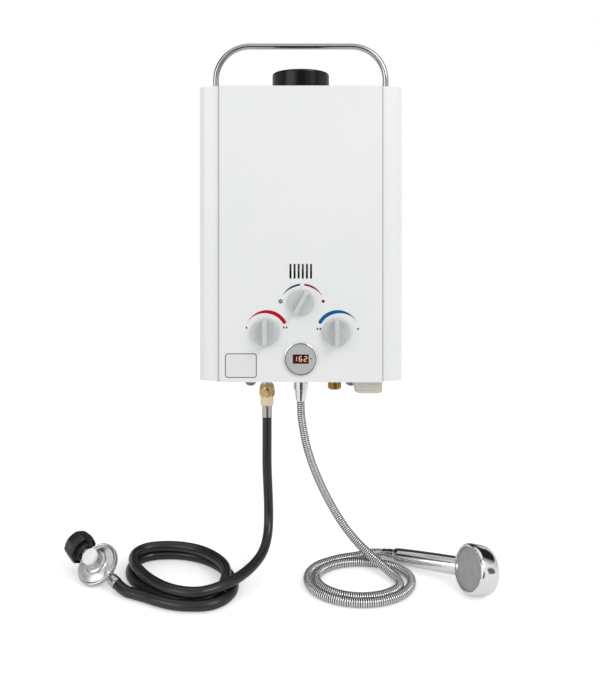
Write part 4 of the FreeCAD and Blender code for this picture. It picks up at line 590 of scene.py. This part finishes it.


# ---- Read-out surround, painted crease shade and lower tabs ----
def display_surround():
    """The rolled chrome ring, the grey disc with its window's opening, and a black ring between them whose
    black paints the shadow gap as shade.
    """
    bezel = placed((0, PANEL, DISPLAY_Z), FRONTWARD, RIGHTWARD)
    piece("display_ring", [turned_shell(bezel, [
        (19.6, -8), (20.9, -8), (20.9, 0), (24.6, 0), (24.6, 1.3), (24.4, 2.3), (24.0, 3.0), (23.4, 3.3),
        (22.9, 3.2), (22.6, 2.6), (22.5, 0.4), (19.6, 0.3)], closed=True, sides=96)],
        "chrome", replaces=("display_bezel",))
    half_wide, half_high, disc_radius = 11.6, 6.8, 22.0
    disc_back, disc_front = PANEL - 0.42, PANEL - 1.3
    corner = math.atan2(half_high, half_wide)
    around_hole("display_disc", (0, DISPLAY_Z), box_reach(half_wide, half_high, half_high),
                lambda angle: disc_radius, [corner, math.pi - corner, math.pi + corner, 2 * math.pi - corner],
                (disc_back, disc_front), "face_plastic", replaces=("display_face",))
    # Painted shade: a black ring standing in for the dark shadow gap at the disc's edge.
    piece("display_painted_shadow_gap", [turned_shell(bezel, [(21.9, 0.32), (22.5, 0.32), (22.5, 1.0), (21.9, 1.0)],
                                        closed=True, sides=96)], "black_plastic")
    ring = placed((14.9, PANEL - 1.25, DISPLAY_Z + 0.4), FRONTWARD, RIGHTWARD)
    piece("degree_ring", [turned_shell(ring, [(0.7, 0), (1.35, 0), (1.35, 0.15), (0.7, 0.15)],
                                       closed=True, sides=24)], "ink_dark_red", slot="face_plastic")


def painted_crease_shades():
    """Painted shade: darker films on the risers where the raised panel steps back to the wings, from top to
    bottom.
    """
    edge = Vector((PANEL_HALF + 0.1, PANEL + 0.2))
    foot = Vector((PANEL_HALF + STEP_RUN - 0.1, PANEL + STEP_RISE - 0.2))
    film = Vector((foot.y - edge.y, edge.x - foot.x)).normalized() * 0.1
    levels = (CASE_BASE + 0.1, CASE_TOP - 0.1)
    for sign, side in SIDES:
        outlines = [[(sign * x, y, z) for x, y in (edge, foot, foot + film, edge + film)] for z in levels]
        piece("painted_shade_line_" + side, [lofted_shell(outlines)], "crease_shade_paint", slot="case_paint")


def tab_skins():
    """Bare zinc faces of the two lower fixing tabs."""
    tab_x, hole_z, hole_radius, half, up = 82.0, -468.0, 3.0, 10.0, 25.9
    sheet, film = 1.2, 0.22
    corner = math.atan2(up, half)

    def edge(angle):
        return half if math.sin(angle) < 0 else box_reach(half, up, half)(angle)

    for sign, side in SIDES:
        around_hole("tab_skin_" + side, (sign * tab_x, hole_z), lambda angle: hole_radius, edge,
                    [corner, math.pi - corner], (-sheet, -sheet - film), "zinc_steel")


display_surround()
painted_crease_shades()
tab_skins()


# ---- Ports and hose fittings ----
PORT_Y = -65.0
THREAD_PITCH, THREAD_TURNS, THREAD_CREST, THREAD_ROOT = 1.814, 10, 10.45, 9.35


def thread_profile(low):
    """Ridges of a screw thread upwards from a height."""
    profile = []
    for index in range(THREAD_TURNS):
        z = low + index * THREAD_PITCH
        profile += [(THREAD_ROOT, z), (THREAD_CREST, z + 0.38 * THREAD_PITCH),
                    (THREAD_CREST, z + 0.58 * THREAD_PITCH), (THREAD_ROOT, z + 0.96 * THREAD_PITCH)]
    return profile


def ports_and_fittings():
    """The threaded cold inlet, and the gas hose's union nut and hexagonal adapter."""
    cold, gas = [placed((x, PORT_Y, 0), UPWARD, FRONTWARD) for x in (KNOB_X, -KNOB_X)]
    piece("cold_spigot", [turned_shell(cold, [(7.5, -466), (9.0, -466)] + thread_profile(-465.2) + [
        (9.4, -446.6), (9.4, -440.8), (15, -440.8), (15, -436.8), (10.4, -436.8), (10.4, -399.5),
        (7.5, -399.5)], closed=True)], "brass", replaces=("cold_inlet",))
    piece("union_nut", [turned_shell(gas, [
        (8.2, -476.4), (11.0, -476.4), (12.6, -475.5, 1), (12.6, -467.6, 1), (12.1, -466.4, 0.4),
        (11.5, -464.4), (10.9, -461.8), (9.9, -459.4), (8.9, -458.6), (8.2, -458.6)],
        closed=True, sides=96, facets=6, turn=-12)], "brass", smooth=22, replaces=("gas_hose_nut",))
    piece("hose_adapter", [turned_shell(gas, [
        (7.4, -491), (9.9, -491), (11.4, -490.1, 1), (11.4, -477.4, 1), (10.2, -476.6), (7.4, -476.6)],
        closed=True, sides=96, facets=6, turn=30)], "pale_brass", smooth=22, slot="brass",
        replaces=("gas_hose_fitting",))


ports_and_fittings()


# ---- Battery box ----
BOX_LEFT, BOX_RIGHT, BOX_FRONT, BOX_BACK = 77.0, 122.0, -105.0, -29.0
BOX_LOW, BOX_HIGH, BOX_WALL, BOX_ROUND = -459.0, -394.0, 1.6, 9.0
# Below this height the left side slants in, down to this place at the bottom.
BOX_KNEE, BOX_LEFT_LOW = -441.0, 80.2
HINGE_X, HINGE_Y, HINGE_Z = 100.0, -26.2, -461.5
KNUCKLE_RADIUS, KNUCKLE_LENGTH, BARREL_HALF, HINGE_GAP, PIN_RADIUS = 2.5, 5.0, 8.0, 0.3, 1.0


def box_outline(left, z, inset=0.0):
    """The battery box's outline at a height, pulled in on every side."""
    wide, deep = BOX_RIGHT - left - 2 * inset, BOX_BACK - BOX_FRONT - 2 * inset
    middle = ((BOX_RIGHT + left) / 2, (BOX_FRONT + BOX_BACK) / 2)
    return [(x, y, z) for x, y in rounded_outline(*middle, wide, deep, BOX_ROUND - inset, steps=8)]


def hinge_tube(start, profile, sides):
    """A turned form from a place on the hinge's axis, hollow if its profile is off the axis."""
    return turned_shell(placed((start, HINGE_Y, HINGE_Z), RIGHTWARD, UPWARD), profile, sides=sides,
                        closed=profile[0][0] > 0)


def battery_case():
    """The moulded holder, whose left side slants, with its rim, hinge knuckles and their brackets."""
    holder = lofted_shell([
        box_outline(BOX_LEFT, BOX_HIGH), box_outline(BOX_LEFT, BOX_KNEE), box_outline(BOX_LEFT_LOW, BOX_LOW),
        box_outline(BOX_LEFT_LOW, BOX_LOW, BOX_WALL), box_outline(BOX_LEFT, BOX_KNEE, BOX_WALL),
        box_outline(BOX_LEFT, BOX_HIGH - BOX_WALL, BOX_WALL)])
    rim_low, rim_high, rim_out, rim_in = -440.8, -439.2, -3, 0.8
    rim = lofted_shell([box_outline(BOX_LEFT, z, inset) for z, inset in (
        (rim_low, rim_out), (rim_high, rim_out), (rim_high, rim_in), (rim_low, rim_in))], closed=True)
    reach = BARREL_HALF + HINGE_GAP
    starts = (HINGE_X - reach - KNUCKLE_LENGTH, HINGE_X + reach)
    knuckle = [(0, 0), (KNUCKLE_RADIUS, 0), (KNUCKLE_RADIUS, KNUCKLE_LENGTH), (0, KNUCKLE_LENGTH)]
    hinge = [hinge_tube(start, knuckle, 32) for start in starts]
    pin = [(0, 0), (PIN_RADIUS, 0), (PIN_RADIUS, 2 * reach), (0, 2 * reach)]
    hinge.append(hinge_tube(HINGE_X - reach, pin, 24))
    inner, wall, top = BOX_BACK - 1, BOX_BACK + 0.3, BOX_LOW + 1
    outer, low = HINGE_Y + KNUCKLE_RADIUS, HINGE_Z + KNUCKLE_RADIUS
    for start in starts:
        hinge.append(lofted_shell([[
            (x, inner, low), (x, outer, low), (x, outer, HINGE_Z), (x, wall, HINGE_Z), (x, wall, top),
            (x, inner, top)] for x in (start, start + KNUCKLE_LENGTH)]))
    piece("battery_case", [holder, rim] + hinge, "ivory_plastic", replaces=("battery_holder",))


def battery_lid():
    """The cover with its rounded edge, on an arm and a barrel round the hinge's pin."""
    lid = lofted_shell([
        box_outline(80.4, -459.3), box_outline(80.6, -461), box_outline(81.0, -462.4, 0.4),
        box_outline(81.4, -463.4, 1.3), box_outline(81.8, -463.95, 2.8)])
    arm_y = BOX_BACK - 3
    arm = lofted_shell([[(x, arm_y, HINGE_Z - 1.8), (x, HINGE_Y, HINGE_Z - 2.4), (x, HINGE_Y, HINGE_Z + 1.8),
                         (x, arm_y, HINGE_Z + 1.8)] for x in (HINGE_X - BARREL_HALF, HINGE_X + BARREL_HALF)])
    bore, length = PIN_RADIUS + 0.05, 2 * BARREL_HALF
    barrel = hinge_tube(HINGE_X - BARREL_HALF,
                        [(bore, 0), (KNUCKLE_RADIUS, 0), (KNUCKLE_RADIUS, length), (bore, length)], 32)
    piece("battery_lid", [lid, arm, barrel], "ivory_plastic", body="battery_door",
          replaces=("battery_cover",))


battery_case()
battery_lid()


# ---- Regulator ----
REGULATOR_AT = Vector((-294, -131, -703.8))
INLET_WAY = Vector((-0.741, 0.629, 0.2345)).normalized()
# How far from the regulator's middle the hose's ferrule begins.
OUTLET_REACH = 35.2


def regulator():
    """The dished body with its rolled rim, inlet stem and hose outlet; its cap, crimp and hand nut."""
    up = Vector((-0.27, -0.6, 0.755))
    up = (up - INLET_WAY * up.dot(INLET_WAY)).normalized()
    stood = placed(REGULATOR_AT, up, INLET_WAY)
    inward = placed(REGULATOR_AT, INLET_WAY, up)
    dish = turned_shell(stood, [
        (0, -11), (15.5, -11), (17.2, -10.2), (20.5, -7.6), (24.0, -5.4), (28.2, -4.4), (29.1, -4.0),
        (29.5, -3.2), (29.5, -1.6), (29.1, -1.0), (28.3, -0.8), (28.3, -0.3), (29.1, -0.1), (29.5, 0.5),
        (29.4, 1.8), (28.8, 2.7), (27.9, 3.0), (27.0, 2.7), (26.4, 1.9), (25.8, 1.2), (24.8, 1.0),
        (23.4, 1.5), (19.6, 3.4), (16.4, 4.9), (15.8, 5.5), (15.5, 7.2), (14.9, 8.1), (13.2, 8.6),
        (12.1, 9.4), (11.6, 10.8), (11.3, 21.4), (10.9, 22.0), (0, 22.0)], sides=96)
    inlet = turned_shell(inward, [
        (0, 4), (8, 4), (8, 41.7), (11.6, 41.7), (12, 42.1), (12, 44.6), (11.6, 45), (0, 45)])
    inside, below = 17, 5.0
    start = REGULATOR_AT - INLET_WAY * inside - up * below
    stop = REGULATOR_AT - INLET_WAY * OUTLET_REACH
    long = (stop - start).length
    outlet = turned_shell(placed(start, stop - start, up), [
        (0, 0), (6.4, 0), (6.4, 8), (7.6, 8.6, 1), (7.6, 12.6, 1), (6.4, 13.2), (5.9, 13.6), (5.9, long),
        (0, long)], facets=6)
    piece("regulator_dish", [dish, inlet, outlet], "cast_alloy", replaces=("regulator_body",))
    piece("hose_crimp", [turned_shell(placed(REGULATOR_AT, -INLET_WAY, up), [
        (0, OUTLET_REACH), (6.3, OUTLET_REACH), (7.2, 36.2), (7.7, 38), (7.75, 40.6), (7.5, 41), (7.5, 42),
        (7.8, 42.5), (7.8, 49.3), (7.6, 50), (0, 50)])], "stainless", replaces=("regulator_ferrule",))
    piece("regulator_cap", [turned_shell(stood, [
        (0, 22.2), (10.9, 22.2), (10.9, 26.2), (10.5, 27.0), (9.6, 27.4), (0, 27.6)])],
        "white_plastic", replaces=("regulator_bonnet",))
    piece("hand_nut", [turned_shell(inward, [
        (9.2, 31.6), (12.6, 31.6), (13.2, 32.2), (13.2, 39.8), (17.6, 39.8), (18.2, 36.8), (19.3, 36.4),
        (21.0, 37.6, 1), (21.2, 44, 1), (20.2, 55, 1), (19.5, 58.2, 1), (18.4, 59.9, 0.6), (17.3, 60.5),
        (16.7, 60.4), (16.65, 41.5), (9.2, 41.5)], closed=True, sides=96, facets=8, turn=10)],
        "black_plastic", smooth=20, body="cylinder_nut", replaces=("cylinder_nut",))


regulator()


# ---- Hand shower ----
SHOWER_AT, SHOWER_FACE = Vector((231.6, -171, -689.9)), Vector((-0.905, -0.351, 0.24)).normalized()
SHOWER_GRIP = Vector((-0.783, 0.602, -0.158)).normalized()
# The CAD solid's head, from which the place of the grip's end is found.
SOLID_AT, SOLID_FACE = Vector((232, -183, -685.3)), Vector((-0.866, -0.445, 0.228)).normalized()
GRIP_LENGTH, GRIP_INSET, GRIP_BACK = 124.0, 20.0, 21.0
NOZZLE_RINGS = ((0, 1), (6.3, 6), (12.6, 12), (18.9, 18), (24, 24))


def grip_start(centre, face):
    """Where the grip's axis begins, behind the middle of the face."""
    across = (SHOWER_GRIP - face * SHOWER_GRIP.dot(face)).normalized()
    return centre + across * GRIP_INSET - face * GRIP_BACK


def shower_shell():
    """The plated drum with its rolled front edge, and the tapering grip."""
    drum = turned_shell(placed(SHOWER_AT, SHOWER_FACE, SHOWER_GRIP), [
        (0, -34), (20.5, -33.9), (25.8, -33.1), (29.2, -31.2), (31.4, -28), (32.3, -24), (32.8, -18),
        (33.0, -10), (33.0, -5), (32.6, -2.8), (31.6, -1.1), (30.2, -0.25), (28.9, 0), (28.1, -0.4),
        (27.8, -1.3), (27.8, -4.6), (0, -4.6)], sides=120)
    first = grip_start(SHOWER_AT, SHOWER_FACE)
    last = grip_start(SOLID_AT, SOLID_FACE) + SHOWER_GRIP * GRIP_LENGTH
    long = (last - first).length
    grip = turned_shell(placed(first, last - first, SHOWER_FACE), [
        (0, 0), (11.2, 0), (12.2, 6), (12.5, 14), (12.5, 24), (12.3, long * 0.45), (11.7, long * 0.72),
        (10.9, long - 8), (10.5, long - 1.5), (9.6, long), (0, long)], sides=96)
    piece("shower_shell", [drum, grip], "chrome", replaces=("hand_shower",), smooth=35)


def spray_face():
    """The grey spray plate, slightly crowned, with rings of small nozzles."""
    stood = placed(SHOWER_AT, SHOWER_FACE, SHOWER_GRIP)
    plate = [turned_shell(stood, [
        (0, -4.5), (27.6, -4.5), (27.6, -2.9), (27.2, -2.5), (22, -2.2), (0, -2.0)], sides=120)]
    nozzle = [(0, 0), (0.7, 0), (0.5, 0.45), (0, 0.45)]
    for radius, count in NOZZLE_RINGS:
        # Every second ring is turned by half a nozzle's step.
        shift = 0.5 if count % 12 == 0 else 0
        for index in range(count):
            angle = 2 * math.pi * (index + shift) / count
            spot = stood @ Vector((*circle_point(0, 0, radius, angle), -2.3))
            plate.append(turned_shell(placed(spot, SHOWER_FACE, SHOWER_GRIP), nozzle, sides=12))
    piece("spray_face", plate, "spray_plastic", replaces=("spray_plate",))


shower_shell()
spray_face()


# ---- Hoses ----
GAS_DIA, SHOWER_DIA = 14.4, 13.0
GAS_EXIT, SHOWER_EXIT = (-52, -65, -509), (0, -65, -483.5)
GAS_DROP = [
    GAS_EXIT, (-52, -65, -545), (-52.2, -65.3, -580), (-51, -65.6, -612), (-49.6, -67.5, -640),
    (-49, -74, -666), (-50, -88, -684), (-55, -107, -697), (-66, -131, -703), (-81, -156, -705),
    (-98, -179, -704.8), (-119, -195, -706),
]
GAS_TAIL = [
    (-156, -208.5, -719.5), (-175, -204.3, -719.5), (-195, -196, -719.5), (-213.5, -186.3, -719.5),
    (-230.5, -179, -719.5), (-244.8, -172.9, -719.3), (-256.88, -162.52, -715.54),
]
SHOWER_DROP = [
    SHOWER_EXIT, (0, -65, -503), (3.5, -65, -529), (9.5, -65.3, -558), (19.5, -66, -588),
    (33, -67, -619), (49.5, -69, -650), (67.5, -74, -676.5), (86, -84, -695), (105, -100, -707),
    (124, -118.5, -715.5), (138, -136.5, -720),
]
SHOWER_TAIL = [
    (50, -86, -720.4), (67, -78.8, -720.4), (83, -75, -720.4), (97, -69, -720.4), (109, -64.5, -720.3),
    (120, -64.4, -719.8), (127.45, -70.3, -718.36),
]
COIL_STEP = 1 / 15
# A coil's offsets and heights are (turn, millimetres) pairs: how far outside its oval, and above the
# floor, the hose's middle lies.
GAS_COIL = {
    "centre": (-172.4, -135.2), "half": (83.4, 52), "lean": -38, "first": -0.033, "last": 1.925,
    "offsets": [
        (0, 1.5), (0.17, -3.5), (0.32, 4), (0.46, -3.5), (0.58, 0.5), (0.68, 0), (0.84, -12),
        (0.94, -9.5), (1.0, -5), (1.1, -2), (1.2, 4.5), (1.25, 5.5), (1.32, 4.5), (1.46, -1), (1.58, 5),
        (1.72, 5.5), (1.85, 5.2), (1.94, 8.5), (2, 11)],
    "heights": [(0, 21), (0.25, 21.5), (0.5, 21.3), (0.7, 21), (0.88, 7.3), (2, 7.3)],
}
SHOWER_COIL = {
    "centre": (84.2, -139.3), "half": (74.4, 60.4), "lean": 0, "first": -0.18, "last": 1.353,
    "offsets": [(-0.3, -13), (0.5, -13), (0.76, 0), (2, 0)],
    "heights": [(-0.3, 6.6), (2, 6.6)],
}


def between(keys, at):
    """The value at a place along a list of (place, value), eased between its neighbours."""
    for (start, low), (stop, high) in zip(keys, keys[1:]):
        if at <= stop:
            share = (at - start) / (stop - start)
            return low + (high - low) * share * share * (3 - 2 * share)
    return keys[-1][1]


def coil_points(centre, half, lean, offsets, heights, first, last):
    """Turns of an oval coil on the floor, clockwise seen from above and counted from the front."""
    leaning = math.radians(lean)
    # A spline's curve runs inside its control points by this share.
    outside = 1 / math.cos(math.pi * COIL_STEP)
    count = round((last - first) / COIL_STEP)
    points = []
    for index in range(count + 1):
        turn = first + (last - first) * index / count
        angle = -math.pi / 2 - 2 * math.pi * turn - leaning
        extra = between(offsets, turn)
        x = (half[0] + extra) * outside * math.cos(angle)
        y = (half[1] + extra) * outside * math.sin(angle)
        points.append((centre[0] + x * math.cos(leaning) - y * math.sin(leaning),
                       centre[1] + x * math.sin(leaning) + y * math.cos(leaning),
                       FLOOR + between(heights, turn)))
    return points


def route_curve(name, points):
    """One smooth open spline through a route's control points."""
    data = bpy.data.curves.new(name, "CURVE")
    data.dimensions = "3D"
    spline = data.splines.new("NURBS")
    spline.points.add(len(points) - 1)
    for target, point in zip(spline.points, points):
        target.co = (*mm(*point), 1)
    spline.order_u = 3
    spline.use_endpoint_u = True
    data.resolution_u = 12
    return data


def line_of(data):
    """The points that a bare curve runs through, in metres."""
    bare = bpy.data.objects.new("bare", data)
    mesh = bpy.data.meshes.new_from_object(bare)
    points = [vertex.co.copy() for vertex in mesh.vertices]
    bpy.data.objects.remove(bare)
    bpy.data.meshes.remove(mesh)
    return points


def length_of(points):
    return sum((b - a).length for a, b in zip(points, points[1:]))


def evenly(points, spacing):
    """Points a nearly even spacing apart along a line, both ends kept."""
    total = length_of(points)
    count = round(total / spacing)
    picked, passed, index = [points[0]], 0.0, 0
    for wanted in range(1, count):
        target = total * wanted / count
        step = (points[index + 1] - points[index]).length
        while passed + step < target:
            passed += step
            index += 1
            step = (points[index + 1] - points[index]).length
        picked.append(points[index].lerp(points[index + 1], (target - passed) / step))
    return picked + [points[-1]]


def tube_mesh(name, points, radius_at, sides):
    """A closed tube about a line, whose radius in metres depends on the ring's number."""
    tangents = [(points[min(i + 1, len(points) - 1)] - points[max(i - 1, 0)]).normalized()
                for i in range(len(points))]
    side = tangents[0].orthogonal().normalized()
    vertices, faces = [], []
    for ring, (point, along) in enumerate(zip(points, tangents)):
        side = (side - along * side.dot(along)).normalized()
        across = along.cross(side)
        radius = radius_at(ring)
        for angle in turn_steps(sides):
            vertices.append(point + (side * math.cos(angle) + across * math.sin(angle)) * radius)
    for ring in range(len(points) - 1):
        faces += band(ring * sides, (ring + 1) * sides, sides)
    last = (len(points) - 1) * sides
    faces += [tuple(range(sides - 1, -1, -1)), tuple(range(last, last + sides))]
    data = bpy.data.meshes.new(name)
    data.from_pydata(vertices, [], faces)
    return data


def make_gas_hose():
    """A smooth rubber hose from the gas inlet's crimp to the regulator's."""
    data = route_curve("gas_hose", GAS_DROP + coil_points(**GAS_COIL) + GAS_TAIL)
    length = length_of(line_of(data))
    data.bevel_depth = GAS_DIA / 2 * MM
    data.bevel_resolution = 8
    hose = as_object("gas_hose", data, "rubber_hose",
                     replaces=("gas_hose_drop", "gas_hose_coil", "gas_hose_tail"))


RIB_PITCH, RIB_RINGS, RIB_SIDES = 3.0, 5, 20
# How far each of a rib's rings lies under the hose's surface; faces beside the first are its groove, whose
# dark metal is painted shade.
RIB_SINK = (1.1, 0.3, 0.0, 0.0, 0.3)
GROOVE_SHADE_RINGS = (0, RIB_RINGS - 1)


def make_shower_hose():
    """A metal hose of lapped bands: narrow grooves between low round ribs, the grooves painted dark as shade.
    """
    route = SHOWER_DROP + coil_points(**SHOWER_COIL) + SHOWER_TAIL
    centre = line_of(route_curve("shower_hose", route))
    points = evenly(centre, RIB_PITCH / RIB_RINGS * MM)

    def radius_at(ring):
        return (SHOWER_DIA / 2 - RIB_SINK[ring % RIB_RINGS]) * MM

    data = tube_mesh("shower_hose", points, radius_at, RIB_SIDES)
    hose = as_object("shower_hose", data, "chrome_hose",
                     replaces=("shower_hose_drop", "shower_hose_coil", "shower_hose_tail"), smooth=40)
    # Painted shade: the grooves' faces take the dark metal.
    data.materials.append(MATERIALS["painted_groove_shade"])
    for face in data.polygons:
        ring = face.index // RIB_SIDES
        if ring < len(points) - 1 and ring % RIB_RINGS in GROOVE_SHADE_RINGS:
            face.material_index = 1


make_gas_hose()
make_shower_hose()


# ---- Stage and light ----
AMBIENT = 0.74
FLOOR_COLOUR, FLOOR_SEEN, FLOOR_MIRRORED = 0.85, 1.01, 0.06
FLOOR_FRONT, FLOOR_EDGE = -0.45, 6.0

# What polished metal sees, as (place, brightness). Round the room, places run from straight behind (0)
# over left (0.25), front (0.5) and right (0.75); up it, they run from below (0) to above (1).
ROUND_FRONT = (
    (0.0, 0.6), (0.15, 0.6), (0.194, 0.95), (0.264, 0.45), (0.333, 0.5), (0.361, 1.0), (0.45, 0.95),
    (0.464, 0.04), (0.536, 0.04), (0.556, 0.35), (0.611, 0.35), (0.625, 1.0), (0.667, 0.9), (0.678, 0.12),
    (0.7, 0.12), (0.715, 0.8), (0.806, 1.0), (0.85, 0.6), (1.0, 0.6))
UP_FRONT = ((0.0, 0.9), (0.56, 0.1), (0.62, 0.85), (0.8, 1.0), (0.86, 0.3), (1.0, 0.9))
UP_LEFT = ((0.0, 0.5), (0.62, 0.5), (0.65, 0.03), (0.82, 0.03), (0.86, 0.8))
UP_BACK = ((0.0, 0.6), (0.67, 0.6), (0.7, 0.015), (0.88, 0.015), (0.92, 0.9), (1.0, 0.9))
UP_STRAIGHT_BACK = ((0.0, 0.3), (0.88, 0.015), (0.92, 0.9), (1.0, 0.9))
# Where round the room the left flag and the wall straight behind are, as (place, share).
LEFT_SPAN = ((0.0, 0.0), (0.23, 0.0), (0.25, 1.0), (0.31, 1.0), (0.33, 0.0))
STRAIGHT_BACK_SPAN = ((0.0, 1.0), (0.05, 1.0), (0.075, 0.0), (0.925, 0.0), (0.95, 1.0))
# Heights between which the front changes from its lamps to what is above, and depths between which the
# front changes to the back, as parts of a unit direction.
ABOVE_LAMPS, BEHIND_FRONT = (0.2, 0.3), (-0.25, 0.15)


def seen_by(tree, *rays):
    """One where a ray is of a named kind, else nought."""
    path = tree.nodes.new("ShaderNodeLightPath")
    total = tree.nodes.new("ShaderNodeMath")
    total.operation = "ADD"
    total.use_clamp = True
    total.inputs[1].default_value = 0
    for socket, ray in zip(total.inputs, rays):
        tree.links.new(path.outputs["Is %s Ray" % ray], socket)
    return total.outputs[0]


def make_floor():
    """A pale floor that keeps the object's soft shadow and meets the white background."""
    data = bpy.data.meshes.new("floor")
    height = FLOOR * MM
    data.from_pydata([(-FLOOR_EDGE, FLOOR_FRONT, height), (FLOOR_EDGE, FLOOR_FRONT, height),
                      (FLOOR_EDGE, FLOOR_EDGE, height), (-FLOOR_EDGE, FLOOR_EDGE, height)],
                     [], [(0, 1, 2, 3)])
    floor = linked("floor", data)
    shader = Shader("floor", grey(FLOOR_COLOUR), 1.0)
    shader.set("Specular IOR Level", 0.0)
    shown = shader.node("Mix")
    shader.join(seen_by(shader.tree, "Camera"), shown.inputs["Factor"])
    mirrored_floor = shader.node("Math", operation="MULTIPLY")
    shader.join(seen_by(shader.tree, "Glossy"), mirrored_floor.inputs[0])
    mirrored_floor.inputs[1].default_value = FLOOR_MIRRORED
    shader.join(mirrored_floor.outputs[0], shown.inputs["A"])
    shown.inputs["B"].default_value = FLOOR_SEEN - FLOOR_COLOUR * AMBIENT
    shader.set("Emission Color", (*grey(1), 1))
    shader.join(shown.outputs["Result"], shader.surface.inputs["Emission Strength"])
    data.materials.append(shader.made)


def grey_ramp(tree, source, spots):
    """Grey levels along a factor from (place, level) pairs."""
    ramp = tree.nodes.new("ShaderNodeValToRGB")
    elements = ramp.color_ramp.elements
    while len(elements) < len(spots):
        elements.new(0.5)
    for element, (place, level) in zip(elements, spots):
        element.position = place
        element.color = (*grey(level), 1)
    tree.links.new(source, ramp.inputs["Fac"])
    return ramp.outputs["Color"]


def mirrored_room(tree):
    """What polished metal sees: a white room whose front has dark flags and gaps between its lamps."""
    coordinates = tree.nodes.new("ShaderNodeTexCoord")
    axes = tree.nodes.new("ShaderNodeSeparateXYZ")
    tree.links.new(coordinates.outputs["Generated"], axes.inputs[0])
    forward = tree.nodes.new("ShaderNodeMath")
    forward.operation = "MULTIPLY"
    forward.inputs[1].default_value = -1
    tree.links.new(axes.outputs["Y"], forward.inputs[0])
    turned = tree.nodes.new("ShaderNodeMath")
    turned.operation = "ARCTAN2"
    tree.links.new(axes.outputs["X"], turned.inputs[0])
    tree.links.new(forward.outputs[0], turned.inputs[1])
    way_round = ranged(tree, turned.outputs[0], -math.pi, math.pi)
    way_up = ranged(tree, axes.outputs["Z"], -1, 1)
    above = blended(tree, grey_ramp(tree, way_round, LEFT_SPAN), grey_ramp(tree, way_up, UP_FRONT),
                    grey_ramp(tree, way_up, UP_LEFT))
    front = blended(tree, ranged(tree, axes.outputs["Z"], *ABOVE_LAMPS),
                    grey_ramp(tree, way_round, ROUND_FRONT), above)
    back = blended(tree, grey_ramp(tree, way_round, STRAIGHT_BACK_SPAN), grey_ramp(tree, way_up, UP_BACK),
                   grey_ramp(tree, way_up, UP_STRAIGHT_BACK))
    return blended(tree, ranged(tree, axes.outputs["Y"], *BEHIND_FRONT), front, back)


def make_world():
    """A soft grey room for light, white where the camera or glass sees it."""
    world = bpy.data.worlds.new("world")
    bpy.context.scene.world = world
    world.use_nodes = True
    tree = world.node_tree
    for_metal = blended(tree, seen_by(tree, "Glossy"), grey(AMBIENT), mirrored_room(tree))
    for_eye = blended(tree, seen_by(tree, "Camera", "Transmission"), for_metal, grey(1.0))
    tree.links.new(for_eye, tree.nodes["Background"].inputs["Color"])


def area_light(name, place, target, size, power):
    """A square lamp that faces a target; places in metres, power in watts."""
    data = bpy.data.lights.new(name, "AREA")
    data.size = size
    data.energy = power
    made = linked(name, data)
    made.location = place
    made.rotation_euler = (Vector(target) - Vector(place)).to_track_quat("-Z", "Y").to_euler()


make_floor()
make_world()
area_light("key", (1.5, -1.8, 1.3), (0, 0, -0.3), 1.2, 22)
area_light("fill", (-1.6, -1.8, 0.3), (0, 0, -0.35), 1.4, 7.5)

bpy.context.scene.view_settings.view_transform = "Standard"
